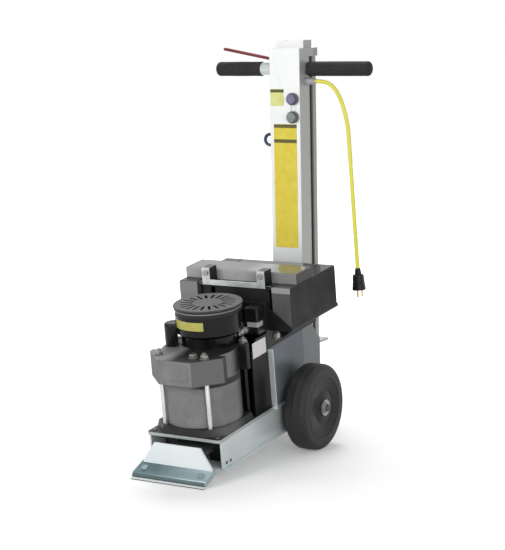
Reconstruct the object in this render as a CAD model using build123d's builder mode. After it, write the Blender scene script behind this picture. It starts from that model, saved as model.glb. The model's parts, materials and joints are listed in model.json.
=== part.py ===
from build123d import *
import math
import os

os.makedirs("parts", exist_ok=True)

# Driving sizes, in millimetres and degrees.
# The chassis slopes down to the blade: its datum plane meets the floor at tilt_y.
pitch = 6.4
tilt_y = -127.0

# Channel and deck, in the sloping chassis frame.
channel_half = 100.0
channel_wall = 4.0
channel_lip = 13.0
channel_front = -146.0
channel_back = 322.0
channel_floor = 40.5
deck_under = 108.5
deck_thick = 8.0
deck_lip = 1.4
deck_half = channel_half + deck_lip
deck_front = -153.0

# Tower above the axle.
tower_front = 104.5
side_plate_thick = 8.0
side_plate_back = 280.0
side_plate_foot = 50.0
front_flange = 14.0
flange_thick = 4.0
tower_top = 262.0
bulkhead_thick = 4.0
rear_bulkhead_y = 268.0
rear_thick = 8.0
guard_front = 28.0
guard_thick = 4.0

# Ballast.
tray_plate = 6.0
tray_back = 353.0
tray_top = 405.0
tray_front = 130.0
ledge_top = 376.0
shelf_top = 311.0
bar_inner = 106.0
bar_outer = 158.0
bar_front = 125.0
bar_length = 230.0
slab_setback = 30.0
slab_depth = 76.0
slab_thick = 26.5
lid_thick = 8.0
strap_x = 78.0
strap_width = 22.0
strap_rise = 10.0
strap_thick = 5.0
rail_height = 13.5
rail_rise = 2.0
bolt_r = 8.0
slot_x = 15.0

# Drive unit, on two upright axes of the chassis frame.
gear_y = -50.0
motor_y = 3.0
seat_half = 99.0
seat_front = -150.0
seat_height = 16.5
gear_r = 92.0
gear_wall = 12.0
gear_top = 244.0
head_top = 305.0
head_half = 101.5
head_front = -165.0
head_face = 46.5
rod_x = 63.0
rod_dy = 77.8
rear_rod_x = 82.0
rear_rod_dy = 65.0
rod_r = 5.5
motor_r = 81.0
neck_r = 70.0
motor_wall = 9.0
neck_long = 23.0
shoulder_low = head_top + neck_long
shoulder_rise = 8.0
shoulder_high = shoulder_low + shoulder_rise
can_long = 44.0
motor_top = shoulder_high + can_long
cover_rise = 21.0
cover_top = motor_top + cover_rise
cap_thick = 3.5
bead_rise = 10.0
shaft_r = 12.0
eccentric_r = 16.5
throw = 3.0
race_r = 25.0
fit = 0.05
can_x = 70.0
can_r = 23.0

# Cutter head.
blade_angle = 22.0
blade_y = -367.0
blade_half = 101.6
blade_thick = 2.5
blade_length = 52.0
edge_wear = 1.2
carrier_thick = 9.5
carrier_length = 66.0
neck_y = -319.5
neck_thick = 6.0
neck_top = 82.0
arm_half = 55.0
arm_low = 70.0
arm_thick = 12.0
arm_back = 60.0
stroke = 3.0

# Wheels and axle.
wheel_r = 107.5
axle_y = 79.0
axle_r = 10.0
tyre_in = 119.0
tyre_out = 179.0
rim_r = 74.0
hub_r = 24.0
web_depth = 2.5
lip_depth = 1.0
web_thick = 14.0
play = 0.5

# Post and handle, upright.
post_y = 221.0
post_half = 43.4
post_depth = 86.0
post_wall = 3.0
post_foot = 95.0
post_top = 986.5
front_channel_depth = 46.0
rear_channel_depth = 24.0
core_front = 27.0
core_depth = 43.0
core_above = 20.0
bar_z = post_top - 52.5
bar_y = post_y + 43.0
bar_r = 12.7
grip_r = 18.5
grip_end = 222.0
left_grip_in = 88.0
right_grip_in = 47.0
pivot_x = -58.0
pivot_z = bar_z + 25.0
lever_rise = 10.5
lever_length = 144.0
button_x = 24.0
button_zs = (post_top - 126.5, post_top - 172.5)
button_r = 12.6
bezel_r = 15.5
press = 4.0
cord_r = 5.0
gland_y = post_y + 35.0
gland_z = post_top - 83.5
loop_r = 4.0
loop_bend = 13.5
plate_half = 33.0
plate_long = 316.0
small_plate = 43.0
guide_long = 165.0
neck_half = 96.0
neck_crown = 64.0
step_half = 40.0

slope = math.radians(pitch)
tilted = Plane(origin=(0, tilt_y, 0), x_dir=(1, 0, 0), z_dir=(0, -math.sin(slope), math.cos(slope)))
upright = Axis((0, tilt_y, 0), tilted.z_dir)
lengthwise = Axis((0, tilt_y, 0), tilted.y_dir)
deck_top = deck_under + deck_thick
seat_top = deck_top + seat_height
floor_top = channel_floor + channel_wall
plate_out = channel_half - channel_wall
plate_in = plate_out - side_plate_thick
bar_top = tray_top + lid_thick
wear = math.radians(blade_angle)
blade_up = (0, -math.sin(wear), math.cos(wear))
blade_plane = Plane(origin=(0, blade_y, -edge_wear), x_dir=(1, 0, 0), z_dir=blade_up)


def at(x, y, z):
    return tilted.from_local_coords(Vector(x, y, z))


def deck(height):
    return tilted.offset(height)


def across(x):
    return Plane(origin=at(x, 0, 0), x_dir=tilted.y_dir, z_dir=(1, 0, 0))


def facing(y):
    return Plane(origin=at(0, y, 0), x_dir=(1, 0, 0), z_dir=tilted.y_dir * -1)


def block(x0, x1, y0, y1):
    with Locations(((x0 + x1) / 2, (y0 + y1) / 2)):
        Rectangle(x1 - x0, y1 - y0)


def eight_sided(half, face, reach, flat):
    quarter = [(face, reach), (half, flat)]
    right = [(x, -y) for x, y in quarter] + quarter[::-1]
    left = [(-x, y) for x, y in right[::-1]]
    Polygon(*right, *left, align=None)


def save(piece, label):
    piece.part.label = label
    export_step(piece.part, f"parts/{label}.step")


# Chassis channel: a trough with lips turned out along its foot, open at the front.
axle_local = tilted.to_local_coords(Vector(0, axle_y, wheel_r))
with BuildPart() as chassis_channel:
    with BuildSketch(facing(channel_back)):
        block(-channel_half - channel_lip, channel_half + channel_lip, channel_floor, floor_top)
        block(-channel_half, -plate_out, channel_floor, deck_under)
        block(plate_out, channel_half, channel_floor, deck_under)
    extrude(amount=channel_back - channel_front)
    with BuildSketch(across(0)):
        with Locations((axle_local.Y, axle_local.Z)):
            Circle(axle_r + fit)
    extrude(amount=channel_half + 1, both=True, mode=Mode.SUBTRACT)
save(chassis_channel, "chassis_channel")

# Deck plate that closes the trough, with a raised tapered seat for the drive unit.
seat_reach = gear_y - seat_front
seat_flat = seat_reach - 40
with BuildPart() as deck_plate:
    with BuildSketch(deck(deck_under)):
        block(-deck_half, deck_half, deck_front, tower_front)
    extrude(amount=deck_thick)
    fillet(deck_plate.edges().filter_by(upright).sort_by(lengthwise)[:2], 6)
    with BuildSketch(deck(deck_top)):
        with Locations((0, gear_y)):
            eight_sided(seat_half, seat_half - 40, seat_reach, seat_flat)
    extrude(amount=seat_height, taper=14)
    with BuildSketch(deck(deck_under)):
        with Locations((0, motor_y)):
            Circle(shaft_r + 16)
    extrude(amount=seat_top, mode=Mode.SUBTRACT)
save(deck_plate, "deck_plate")

# Side plates of the tower, seated inside the trough walls, with a flange turned out along the front.
for hand, label in ((-1, "side_plate_left"), (1, "side_plate_right")):
    with BuildPart() as side_plate:
        with BuildSketch(across(hand * plate_in)):
            with BuildLine():
                Polyline(
                    (tower_front, side_plate_foot),
                    (side_plate_back, side_plate_foot),
                    (side_plate_back, tower_top),
                    (tower_front, tower_top),
                    close=True,
                )
            make_face()
            with Locations((axle_local.Y, axle_local.Z)):
                Circle(axle_r + fit, mode=Mode.SUBTRACT)
        extrude(amount=hand * side_plate_thick)
        with BuildSketch(deck(deck_under)):
            flange_x = sorted((hand * plate_in, hand * (plate_out + front_flange)))
            block(*flange_x, tower_front, tower_front + flange_thick)
        extrude(amount=tower_top - deck_under)
    save(side_plate, label)

# Bulkheads between the side plates.
bulkheads = (
    (tower_front, bulkhead_thick, "front_bulkhead"),
    (rear_bulkhead_y, rear_thick, "rear_bulkhead"),
)
for front, thick, label in bulkheads:
    with BuildPart() as bulkhead:
        with BuildSketch(deck(floor_top)):
            block(-plate_in, plate_in, front, front + thick)
        extrude(amount=tower_top - floor_top)
    save(bulkhead, label)

# Guards between the drive unit and the tower.
with BuildPart() as side_guards:
    for hand in (-1, 1):
        with BuildSketch(across(hand * (plate_out - guard_thick))):
            with BuildLine():
                Polyline(
                    (guard_front, deck_top),
                    (tower_front, deck_top),
                    (tower_front, tower_top + 40),
                    (guard_front + 26, tower_top + 40),
                    (guard_front, tower_top + 14),
                    close=True,
                )
            make_face()
        extrude(amount=hand * guard_thick)
save(side_guards, "side_guards")

# Ballast tray: a box with a stepped front on the tower, and a shelf, stops and ribs on each side.
with BuildPart() as ballast_frame:
    with BuildSketch(across(0)):
        tray_side = [
            (tower_front, tower_top),
            (tray_back, tower_top),
            (tray_back, tray_top),
            (tray_front, tray_top),
            (tray_front, ledge_top),
            (tower_front, ledge_top),
        ]
        Polygon(*tray_side, align=None)
    extrude(amount=plate_out, both=True)
    with BuildSketch(across(0)):
        tray_hollow = [
            (tower_front + tray_plate, tower_top + tray_plate),
            (tray_back - tray_plate, tower_top + tray_plate),
            (tray_back - tray_plate, tray_top),
            (tray_front + tray_plate, tray_top),
            (tray_front + tray_plate, ledge_top - tray_plate),
            (tower_front + tray_plate, ledge_top - tray_plate),
        ]
        Polygon(*tray_hollow, align=None)
    extrude(amount=plate_out - tray_plate, both=True, mode=Mode.SUBTRACT)
    with BuildSketch(facing(tray_front + tray_plate)):
        slot_z = (ledge_top + tray_top) / 2
        with Locations((-strap_x - slot_x, slot_z), (slot_x - strap_x, slot_z)):
            Rectangle(12, tray_top - ledge_top - 6)
    extrude(amount=tray_plate, mode=Mode.SUBTRACT)
    with BuildSketch(deck(shelf_top - tray_plate)):
        for hand in (-1, 1):
            shelf_x = sorted((hand * plate_out, hand * bar_outer))
            block(*shelf_x, bar_front - tray_plate, bar_front + bar_length + tray_plate)
    extrude(amount=tray_plate)
    for hand in (-1, 1):
        for stop in (bar_front, bar_front + bar_length + tray_plate):
            with BuildSketch(facing(stop)):
                with BuildLine():
                    Polyline(
                        (hand * plate_out, shelf_top),
                        (hand * bar_outer, shelf_top),
                        (hand * plate_out, shelf_top + 50),
                        close=True,
                    )
                make_face()
            extrude(amount=tray_plate)
        for rib in (185.0, 305.0):
            with BuildSketch(facing(rib)):
                with BuildLine():
                    Polyline(
                        (hand * plate_out, shelf_top - tray_plate),
                        (hand * (bar_outer - 12), shelf_top - tray_plate),
                        (hand * plate_out, tower_top + 6),
                        close=True,
                    )
                make_face()
            extrude(amount=tray_plate)
save(ballast_frame, "ballast_frame")

with BuildPart() as top_plate:
    with BuildSketch(deck(tray_top)):
        block(2 - bar_inner, bar_inner - 2, tray_front, tray_back)
    extrude(amount=lid_thick)
save(top_plate, "top_plate")

for hand, label in ((-1, "ballast_bar_left"), (1, "ballast_bar_right")):
    with BuildPart() as ballast_bar:
        with BuildSketch(deck(shelf_top)):
            block(*sorted((hand * bar_inner, hand * bar_outer)), bar_front, bar_front + bar_length)
        extrude(amount=bar_top - shelf_top)
        chamfer(ballast_bar.edges().group_by(upright)[-1], 2)
    save(ballast_bar, label)

slab_front = tray_front + slab_setback
with BuildPart() as ballast_slab:
    with BuildSketch(deck(bar_top)):
        block(-bar_outer, bar_outer, slab_front, slab_front + slab_depth)
    extrude(amount=slab_thick)
    chamfer(ballast_slab.edges().group_by(upright)[-1], 2)
save(ballast_slab, "ballast_slab")

# Hold-down: a rail on the tray's front edge and two uprights that reach back to the slab.
strap_top = bar_top + slab_thick + strap_rise
rail_low = tray_top + rail_rise
with BuildPart() as hold_down_straps:
    with BuildSketch(facing(tray_front)):
        block(-strap_x, strap_x, rail_low, rail_low + rail_height)
        for middle in (-strap_x, strap_x):
            block(middle - strap_width / 2, middle + strap_width / 2, rail_low, strap_top)
    extrude(amount=strap_thick)
    with BuildSketch(facing(slab_front)):
        for middle in (-strap_x, strap_x):
            block(middle - strap_width / 2, middle + strap_width / 2, bar_top, strap_top)
    extrude(amount=slab_setback)
save(hold_down_straps, "hold_down_straps")

with BuildPart() as hold_down_bolts:
    with BuildSketch(facing(tray_front - strap_thick)):
        with Locations(*[(hand * strap_x, strap_top - 12) for hand in (-1, 1)]):
            RegularPolygon(bolt_r, 6)
    extrude(amount=4.5)
save(hold_down_bolts, "hold_down_bolts")

# Axle with its spacers and end washers.
cap_in = tyre_out + play * 2
spacer_out = tyre_in - play * 4
with BuildPart() as axle:
    with BuildSketch(Plane.YZ.offset(-cap_in - 10)):
        with Locations((axle_y, wheel_r)):
            Circle(axle_r)
    extrude(amount=2 * (cap_in + 10))
    chamfer(axle.edges(), 1.5)
save(axle, "axle")

rings = (
    (channel_half, spacer_out - channel_half, 16.0),
    (cap_in, 3.0, 20.0),
    (cap_in + 3, 4.0, 14.5),
)
with BuildPart() as axle_collars:
    for hand in (-1, 1):
        for near, long, radius in rings:
            with BuildSketch(Plane.YZ.offset(hand * near)):
                with Locations((axle_y, wheel_r)):
                    Circle(radius)
                    Circle(axle_r + fit, mode=Mode.SUBTRACT)
            extrude(amount=hand * long)
save(axle_collars, "axle_collars")

# Wheels: a dished rim that turns on the axle and a solid tyre with rounded shoulders.
axle_line = Axis((0, axle_y, wheel_r), (1, 0, 0))
wheel_plane = Plane(origin=(0, axle_y, wheel_r), x_dir=(1, 0, 0), z_dir=(0, -1, 0))
for hand, label in ((-1, "left"), (1, "right")):
    with BuildPart() as rim:
        with BuildSketch(wheel_plane):
            with BuildLine():
                Polyline(
                    (hand * (tyre_in - play * 3), axle_r + fit),
                    (hand * (tyre_out + play), axle_r + fit),
                    (hand * (tyre_out + play), hub_r - 3),
                    (hand * (tyre_out - lip_depth), hub_r),
                    (hand * (tyre_out - web_depth), hub_r + 3),
                    (hand * (tyre_out - web_depth), rim_r - 12),
                    (hand * (tyre_out - lip_depth), rim_r - 8),
                    (hand * (tyre_out - lip_depth), rim_r),
                    (hand * (tyre_in + 6), rim_r),
                    (hand * (tyre_in + 6), rim_r - 7),
                    (hand * (tyre_out - web_depth - web_thick), rim_r - 14),
                    (hand * (tyre_out - web_depth - web_thick), hub_r + 4),
                    (hand * (tyre_in - play * 3), hub_r),
                    close=True,
                )
            make_face()
        revolve(axis=axle_line)
    save(rim, f"rim_{label}")
    with BuildPart() as tyre:
        with BuildSketch(wheel_plane):
            with BuildLine():
                wall_in = (hand * tyre_in, wheel_r - 15)
                wall_out = (hand * tyre_out, wheel_r - 15)
                tread_in = (hand * (tyre_in + 16), wheel_r)
                tread_out = (hand * (tyre_out - 16), wheel_r)
                Polyline(wall_in, (hand * tyre_in, rim_r + fit), (hand * tyre_out, rim_r + fit), wall_out)
                ThreePointArc(wall_out, (hand * (tyre_out - 5), wheel_r - 4.5), tread_out)
                Line(tread_out, tread_in)
                ThreePointArc(tread_in, (hand * (tyre_in + 5), wheel_r - 4.5), wall_in)
            make_face()
        revolve(axis=axle_line)
    save(tyre, f"tyre_{label}")

# Gear housing: an upright can with a thick floor that holds the lower bearing.
bearing_low = seat_top + 4
bearing_high = seat_top + 20
with BuildPart() as gear_housing:
    with BuildSketch(deck(seat_top)):
        with Locations((0, gear_y)):
            Circle(gear_r)
    extrude(amount=gear_top - seat_top)
    with BuildSketch(deck(bearing_high + 4)):
        with Locations((0, gear_y)):
            Circle(gear_r - gear_wall)
    extrude(amount=gear_top, mode=Mode.SUBTRACT)
    with BuildSketch(deck(seat_top)):
        with Locations((0, motor_y)):
            Circle(26)
    extrude(amount=gear_top, mode=Mode.SUBTRACT)
save(gear_housing, "gear_housing")

# Gear head: a round end bell with a chamfered yoke in front and behind, clamped on the can by tie rods.
rod_spots = [(hand * rod_x, gear_y - rod_dy) for hand in (-1, 1)]
rod_spots += [(hand * rear_rod_x, gear_y + rear_rod_dy) for hand in (-1, 1)]
reach = gear_y - head_front
flat = reach - (head_half - head_face)
with BuildPart() as gear_head:
    with BuildSketch(deck(gear_top)):
        with Locations((0, gear_y)):
            eight_sided(head_half, head_face, reach, flat)
        with Locations((0, gear_y)):
            Rectangle(3 * head_half, 2 * (flat - 14), mode=Mode.SUBTRACT)
            Circle(gear_r)
        with Locations((0, motor_y)):
            Circle(neck_r + 12)
            Circle(shaft_r + 18, mode=Mode.SUBTRACT)
        with Locations(*rod_spots):
            Circle(rod_r + 0.2, mode=Mode.SUBTRACT)
    extrude(amount=head_top - gear_top)
    outer = [e for e in gear_head.edges().filter_by(upright) if abs(e.center().X) > head_face - 1]
    fillet([e for e in outer if abs(abs(tilted.to_local_coords(e.center()).Y - gear_y) - reach) < 0.1], 6)
save(gear_head, "gear_head")

with BuildPart() as tie_rods:
    with BuildSketch(deck(seat_top)):
        with Locations(*rod_spots):
            Circle(rod_r)
    extrude(amount=head_top - seat_top + 14)
    with BuildSketch(deck(head_top)):
        with Locations(*rod_spots, (rod_x / 2, gear_y - rod_dy)):
            RegularPolygon(rod_r + 5, 6)
    extrude(amount=9)
save(tie_rods, "tie_rods")

# Motor: a stepped can with a foot flange, turned about its own axis, and a vented cover over its fan.
motor_axis = Axis(at(0, motor_y, 0), tilted.z_dir)
motor_section = Plane(origin=at(0, motor_y, 0), x_dir=(1, 0, 0), z_dir=tilted.y_dir * -1)
bore_r = neck_r - motor_wall
with BuildPart() as motor_body:
    with BuildSketch(motor_section):
        with BuildLine():
            Polyline(
                (bore_r, head_top),
                (neck_r + 2, head_top),
                (neck_r + 2, head_top + 3),
                (neck_r, head_top + 3),
                (neck_r, shoulder_low),
                (motor_r, shoulder_high),
                (motor_r, motor_top),
                (20, motor_top),
                (20, motor_top - 10),
                (bore_r, motor_top - 10),
                close=True,
            )
        make_face()
    revolve(axis=motor_axis)
save(motor_body, "motor_body")

core_low = head_top + 12
core_long = 50.0
core_r = 32.0
with BuildPart() as stator:
    with BuildSketch(deck(core_low)):
        with Locations((0, motor_y)):
            Circle(bore_r)
            Circle(core_r + 1, mode=Mode.SUBTRACT)
    extrude(amount=core_long)
save(stator, "stator")

with BuildPart() as motor_bearings:
    with BuildSketch(deck(bearing_low)):
        with Locations((0, motor_y)):
            Circle(26)
            Circle(shaft_r + fit, mode=Mode.SUBTRACT)
    extrude(amount=bearing_high - bearing_low)
    with BuildSketch(deck(motor_top - 10)):
        with Locations((0, motor_y)):
            Circle(20)
            Circle(shaft_r - 2 + fit, mode=Mode.SUBTRACT)
    extrude(amount=10)
save(motor_bearings, "motor_bearings")

bead_z = motor_top + bead_rise
with BuildPart() as fan_cover:
    with BuildSketch(motor_section):
        with BuildLine():
            Polyline(
                (0, cover_top - 3),
                (motor_r - 5, cover_top - 3),
                (motor_r - 5, motor_top),
                (motor_r - 1, motor_top),
                (motor_r - 1, bead_z),
                (motor_r + 0.6, bead_z + 0.6),
                (motor_r + 0.6, bead_z + 2.2),
                (motor_r - 1, bead_z + 2.8),
                (motor_r - 1, cover_top - cap_thick),
                (motor_r + 3, cover_top - cap_thick),
                (motor_r + 3, cover_top - 1),
                (motor_r + 2, cover_top),
                (0, cover_top),
                close=True,
            )
        make_face()
    revolve(axis=motor_axis)
    with BuildSketch(deck(cover_top - 4)):
        with Locations((0, motor_y)):
            with PolarLocations(motor_r * 0.64, 20):
                SlotOverall(32, 6.5)
    extrude(amount=6, mode=Mode.SUBTRACT)
save(fan_cover, "fan_cover")

# Rotor: core, shaft and the eccentric that strokes the cutter arm.
shaft_low = arm_low + arm_thick + 10
with BuildPart() as rotor:
    with BuildSketch(deck(shaft_low)):
        with Locations((0, motor_y)):
            Circle(shaft_r)
    extrude(amount=motor_top - 12 - shaft_low)
    with BuildSketch(deck(motor_top - 12)):
        with Locations((0, motor_y)):
            Circle(shaft_r - 2)
    extrude(amount=21)
    with BuildSketch(deck(core_low)):
        with Locations((0, motor_y)):
            Circle(core_r)
    extrude(amount=core_long)
    with BuildSketch(deck(arm_low - 6)):
        with Locations((throw, motor_y)):
            Circle(eccentric_r)
    extrude(amount=shaft_low - arm_low + 6)
save(rotor, "rotor")

with BuildPart() as drive_bearing:
    with BuildSketch(deck(arm_low - 3)):
        with Locations((throw, motor_y)):
            Circle(race_r)
            Circle(eccentric_r + fit, mode=Mode.SUBTRACT)
    extrude(amount=arm_thick + 6)
save(drive_bearing, "drive_bearing")

with BuildPart() as cooling_fan:
    with BuildSketch(deck(motor_top + 1.5)):
        with Locations((0, motor_y)):
            Circle(motor_r - 8)
            Circle(shaft_r - 2 + fit, mode=Mode.SUBTRACT)
    extrude(amount=2)
    with BuildSketch(deck(motor_top + 3.5)):
        with Locations((0, motor_y)):
            Circle(16)
            Circle(shaft_r - 2 + fit, mode=Mode.SUBTRACT)
            with PolarLocations(motor_r / 2, 9):
                Rectangle(motor_r - 26, 2.5)
    extrude(amount=5)
save(cooling_fan, "cooling_fan")

# Capacitor can beside the motor and the control box in front of the tower.
with BuildPart() as capacitor_cover:
    with BuildSketch(deck(head_top)):
        with Locations((-can_x, gear_y + 3)):
            Circle(can_r)
    extrude(amount=56)
    fillet(capacitor_cover.edges().group_by(upright)[-1], 6)
    with BuildSketch(deck(head_top)):
        with Locations((0, motor_y)):
            Circle(motor_r)
    extrude(amount=motor_top - head_top, mode=Mode.SUBTRACT)
save(capacitor_cover, "capacitor_cover")

box_front = 70.0
box_inner = 57.0
box_outer = 94.0
box_low = head_top + 3
box_step = head_top + 28
box_high = ledge_top - 4
with BuildPart() as control_box:
    with BuildSketch(deck(box_low)):
        block(box_inner, box_outer, box_front, tower_front)
    extrude(amount=box_high - box_low)
    fillet(control_box.edges().filter_by(upright).sort_by(lengthwise)[:2], 4)
    with BuildSketch(deck(box_low)):
        block(box_inner - 14, box_outer - 12, box_front, tower_front)
    extrude(amount=box_step - box_low)
save(control_box, "control_box")

conduit_x = box_inner + 2
conduit_z = head_top + 13
with BuildPart() as motor_conduit:
    with BuildSketch(facing(box_front)):
        with Locations((conduit_x, conduit_z)):
            Circle(7)
    extrude(amount=box_front - motor_y)
    for start in (box_front, box_front - 16):
        with BuildSketch(facing(start)):
            with Locations((conduit_x, conduit_z)):
                RegularPolygon(9, 6)
        extrude(amount=8)
    with BuildSketch(deck(head_top)):
        with Locations((0, motor_y)):
            Circle(neck_r)
    extrude(amount=motor_top - head_top, mode=Mode.SUBTRACT)
save(motor_conduit, "motor_conduit")

# Arm guides: grooved slide blocks on the trough floor.
guide_gap = 0.3
with BuildPart() as arm_guides:
    for hand in (-1, 1):
        with BuildSketch(facing(arm_back - 2)):
            guide_x = sorted((hand * (arm_half - 12), hand * (arm_half + 20)))
            block(*guide_x, floor_top, deck_under - 8.5)
            groove = sorted((hand * (arm_half - 13), hand * (arm_half + 0.5)))
            block_low = arm_low - guide_gap
            block_high = arm_low + arm_thick + guide_gap
            with Locations(((groove[0] + groove[1]) / 2, (block_low + block_high) / 2)):
                Rectangle(groove[1] - groove[0], block_high - block_low, mode=Mode.SUBTRACT)
        extrude(amount=guide_long)
save(arm_guides, "arm_guides")

# Cutter head: blade, carrier, neck plate and the arm that the eccentric strokes.
with BuildPart() as blade:
    with BuildSketch(Plane(blade_plane.origin, x_dir=blade_plane.y_dir, z_dir=(1, 0, 0))):
        with BuildLine():
            Polyline(
                (0, 0),
                (blade_length, 0),
                (blade_length, blade_thick),
                (7, blade_thick),
                (0, edge_wear),
                close=True,
            )
        make_face()
    extrude(amount=blade_half, both=True)
    with BuildSketch(blade_plane):
        with Locations((-78, 34), (78, 34)):
            Circle(5.2)
    extrude(amount=blade_thick, mode=Mode.SUBTRACT)
    split(bisect_by=Plane.XY, keep=Keep.TOP)
save(blade, "blade")

carrier_top = blade_thick + carrier_thick
with BuildPart() as blade_carrier:
    with BuildSketch(Plane(blade_plane.origin, x_dir=blade_plane.y_dir, z_dir=(1, 0, 0))):
        with BuildLine():
            Polyline(
                (9, blade_thick),
                (carrier_length, blade_thick),
                (carrier_length, carrier_top),
                (16, carrier_top),
                (9, blade_thick + 3),
                close=True,
            )
        make_face()
    extrude(amount=blade_half, both=True)
    with BuildSketch(blade_plane.offset(carrier_top)):
        with Locations((-78, 34), (78, 34)):
            Circle(5.2)
    extrude(amount=-carrier_top, mode=Mode.SUBTRACT)
save(blade_carrier, "blade_carrier")

with BuildPart() as blade_bolts:
    with BuildSketch(blade_plane):
        with Locations((-78, 34), (78, 34)):
            Circle(5)
    extrude(amount=carrier_top)
    with BuildSketch(blade_plane.offset(carrier_top)):
        with Locations((-78, 34), (78, 34)):
            Circle(8.5)
    extrude(amount=5)
    fillet(blade_bolts.edges().group_by(Axis(blade_plane.origin, blade_plane.z_dir))[-1], 2.5)
save(blade_bolts, "blade_bolts")

with BuildPart() as head_neck:
    with BuildSketch(Plane.XZ.offset(-neck_y - neck_thick)):
        with BuildLine():
            Polyline(
                (-neck_half, neck_top - 62),
                (neck_half, neck_top - 62),
                (neck_half, neck_top - 48),
                (neck_crown, neck_top),
                (-neck_crown, neck_top),
                (-neck_half, neck_top - 48),
                close=True,
            )
        make_face()
    extrude(amount=neck_thick)
    split(bisect_by=blade_plane.offset(carrier_top), keep=Keep.TOP)
save(head_neck, "head_neck")

with BuildPart() as drive_arm:
    with BuildSketch(deck(arm_low)):
        block(-arm_half, arm_half, -200, arm_back)
        with Locations((0, motor_y)):
            slot_wide = 2 * (race_r + throw) + 3
            RectangleRounded(slot_wide, slot_wide + 2 * stroke, 8, mode=Mode.SUBTRACT)
    extrude(amount=arm_thick)
    split(bisect_by=Plane.XZ.offset(-neck_y - neck_thick), keep=Keep.BOTTOM)
save(drive_arm, "drive_arm")

# Post: a core tube between two facing channels, with a band at the top.
channel_y2 = post_y + front_channel_depth
rear_y = post_y + post_depth - rear_channel_depth
post_back = post_y + post_depth
with BuildPart() as post_front_channel:
    with BuildSketch(Plane.XY.offset(post_foot)):
        block(-post_half, post_half, post_y, channel_y2)
        with Locations((0, (post_y + post_wall + channel_y2) / 2)):
            Rectangle(2 * (post_half - post_wall), front_channel_depth - post_wall, mode=Mode.SUBTRACT)
    extrude(amount=post_top - post_foot)
    with BuildSketch(Plane.YZ):
        with Locations((bar_y, bar_z)):
            Circle(bar_r + fit)
    extrude(amount=post_half + 1, both=True, mode=Mode.SUBTRACT)
    with BuildSketch(Plane.XZ.offset(-post_y - post_wall)):
        with Locations(*[(button_x, z) for z in button_zs]):
            Circle(5.5)
    extrude(amount=post_wall, mode=Mode.SUBTRACT)
save(post_front_channel, "post_front_channel")

with BuildPart() as post_rear_channel:
    with BuildSketch(Plane.XY.offset(post_foot)):
        block(-post_half, post_half, rear_y, post_back)
        with Locations((0, (rear_y + post_back - post_wall) / 2)):
            Rectangle(2 * (post_half - post_wall), rear_channel_depth - post_wall, mode=Mode.SUBTRACT)
    extrude(amount=post_top - post_foot)
save(post_rear_channel, "post_rear_channel")

core_half = post_half - post_wall
core_y = post_y + core_front
with BuildPart() as post_core:
    with BuildSketch(Plane.XY.offset(post_foot)):
        block(-core_half, core_half, core_y, core_y + core_depth)
    extrude(amount=post_top + core_above - post_foot)
    with BuildSketch(Plane.XY.offset(post_foot)):
        with Locations((0, core_y + core_depth / 2)):
            Rectangle(2 * (core_half - post_wall), core_depth - 2 * post_wall)
    extrude(amount=post_top + core_above - post_foot - post_wall, mode=Mode.SUBTRACT)
    with BuildSketch(Plane.YZ):
        with Locations((bar_y, bar_z)):
            Circle(bar_r + fit)
    extrude(amount=post_half, both=True, mode=Mode.SUBTRACT)
save(post_core, "post_core")

band_height = 21.0
with BuildPart() as top_band:
    with BuildSketch(Plane.XY.offset(post_top - band_height)):
        block(-post_half - 2, post_half + 2, post_y - 1.5, post_back + 10)
        with Locations((0, (post_y + post_back) / 2)):
            Rectangle(2 * post_half, post_depth, mode=Mode.SUBTRACT)
    extrude(amount=band_height)
    back_corners = top_band.edges().filter_by(Axis.Z).sort_by(Axis.Y)[-2:]
    fillet(back_corners, 5)
save(top_band, "top_band")

# Post bracket: a folded saddle from the rear bulkhead round the foot of the post.
bracket_out = post_half + 6
saddle_y = rear_bulkhead_y + rear_thick
with BuildPart() as post_bracket:
    with BuildSketch(deck(60)):
        block(-bracket_out, bracket_out, saddle_y, saddle_y + 6)
    extrude(amount=tower_top - 66)
    for hand in (-1, 1):
        with BuildSketch(Plane.YZ.offset(hand * post_half)):
            with BuildLine():
                low = at(0, saddle_y + 3, 62)
                high = at(0, saddle_y + 3, tower_top - 8)
                Polyline(
                    (low.Y, low.Z),
                    (post_back - 8, low.Z + 6),
                    (post_back - 8, high.Z - 50),
                    (post_y + 30, high.Z),
                    (high.Y, high.Z),
                    close=True,
                )
            make_face()
        extrude(amount=hand * 6)
save(post_bracket, "post_bracket")

# Step at the back of the post for tipping the machine.
step_z = 220.0
step_end = 367.3
with BuildPart() as step_plate:
    with BuildSketch(Plane.YZ.offset(-step_half)):
        with BuildLine():
            Polyline(
                (post_back, step_z - 3),
                (post_back, step_z - 50),
                (post_back + 5, step_z - 50),
                (post_back + 5, step_z - 3),
                (step_end, step_z - 3),
                (step_end, step_z + 3),
                (post_back, step_z + 3),
                close=True,
            )
        make_face()
    extrude(amount=2 * step_half)
    with BuildSketch(Plane.YZ.offset(-3)):
        with BuildLine():
            Polyline(
                (post_back + 5, step_z - 3),
                (step_end - 18, step_z - 3),
                (post_back + 5, step_z - 40),
                close=True,
            )
        make_face()
    extrude(amount=6)
    fillet(step_plate.edges().filter_by(Axis.Z).sort_by(Axis.Y)[-2:], 8)
save(step_plate, "step_plate")

# Handlebar, grips and the dead-man lever on its bracket.
with BuildPart() as handlebar_tube:
    with BuildSketch(Plane.YZ.offset(-grip_end + 8)):
        with Locations((bar_y, bar_z)):
            Circle(bar_r)
            Circle(bar_r - 2.5, mode=Mode.SUBTRACT)
    extrude(amount=2 * (grip_end - 8))
save(handlebar_tube, "handlebar_tube")

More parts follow.
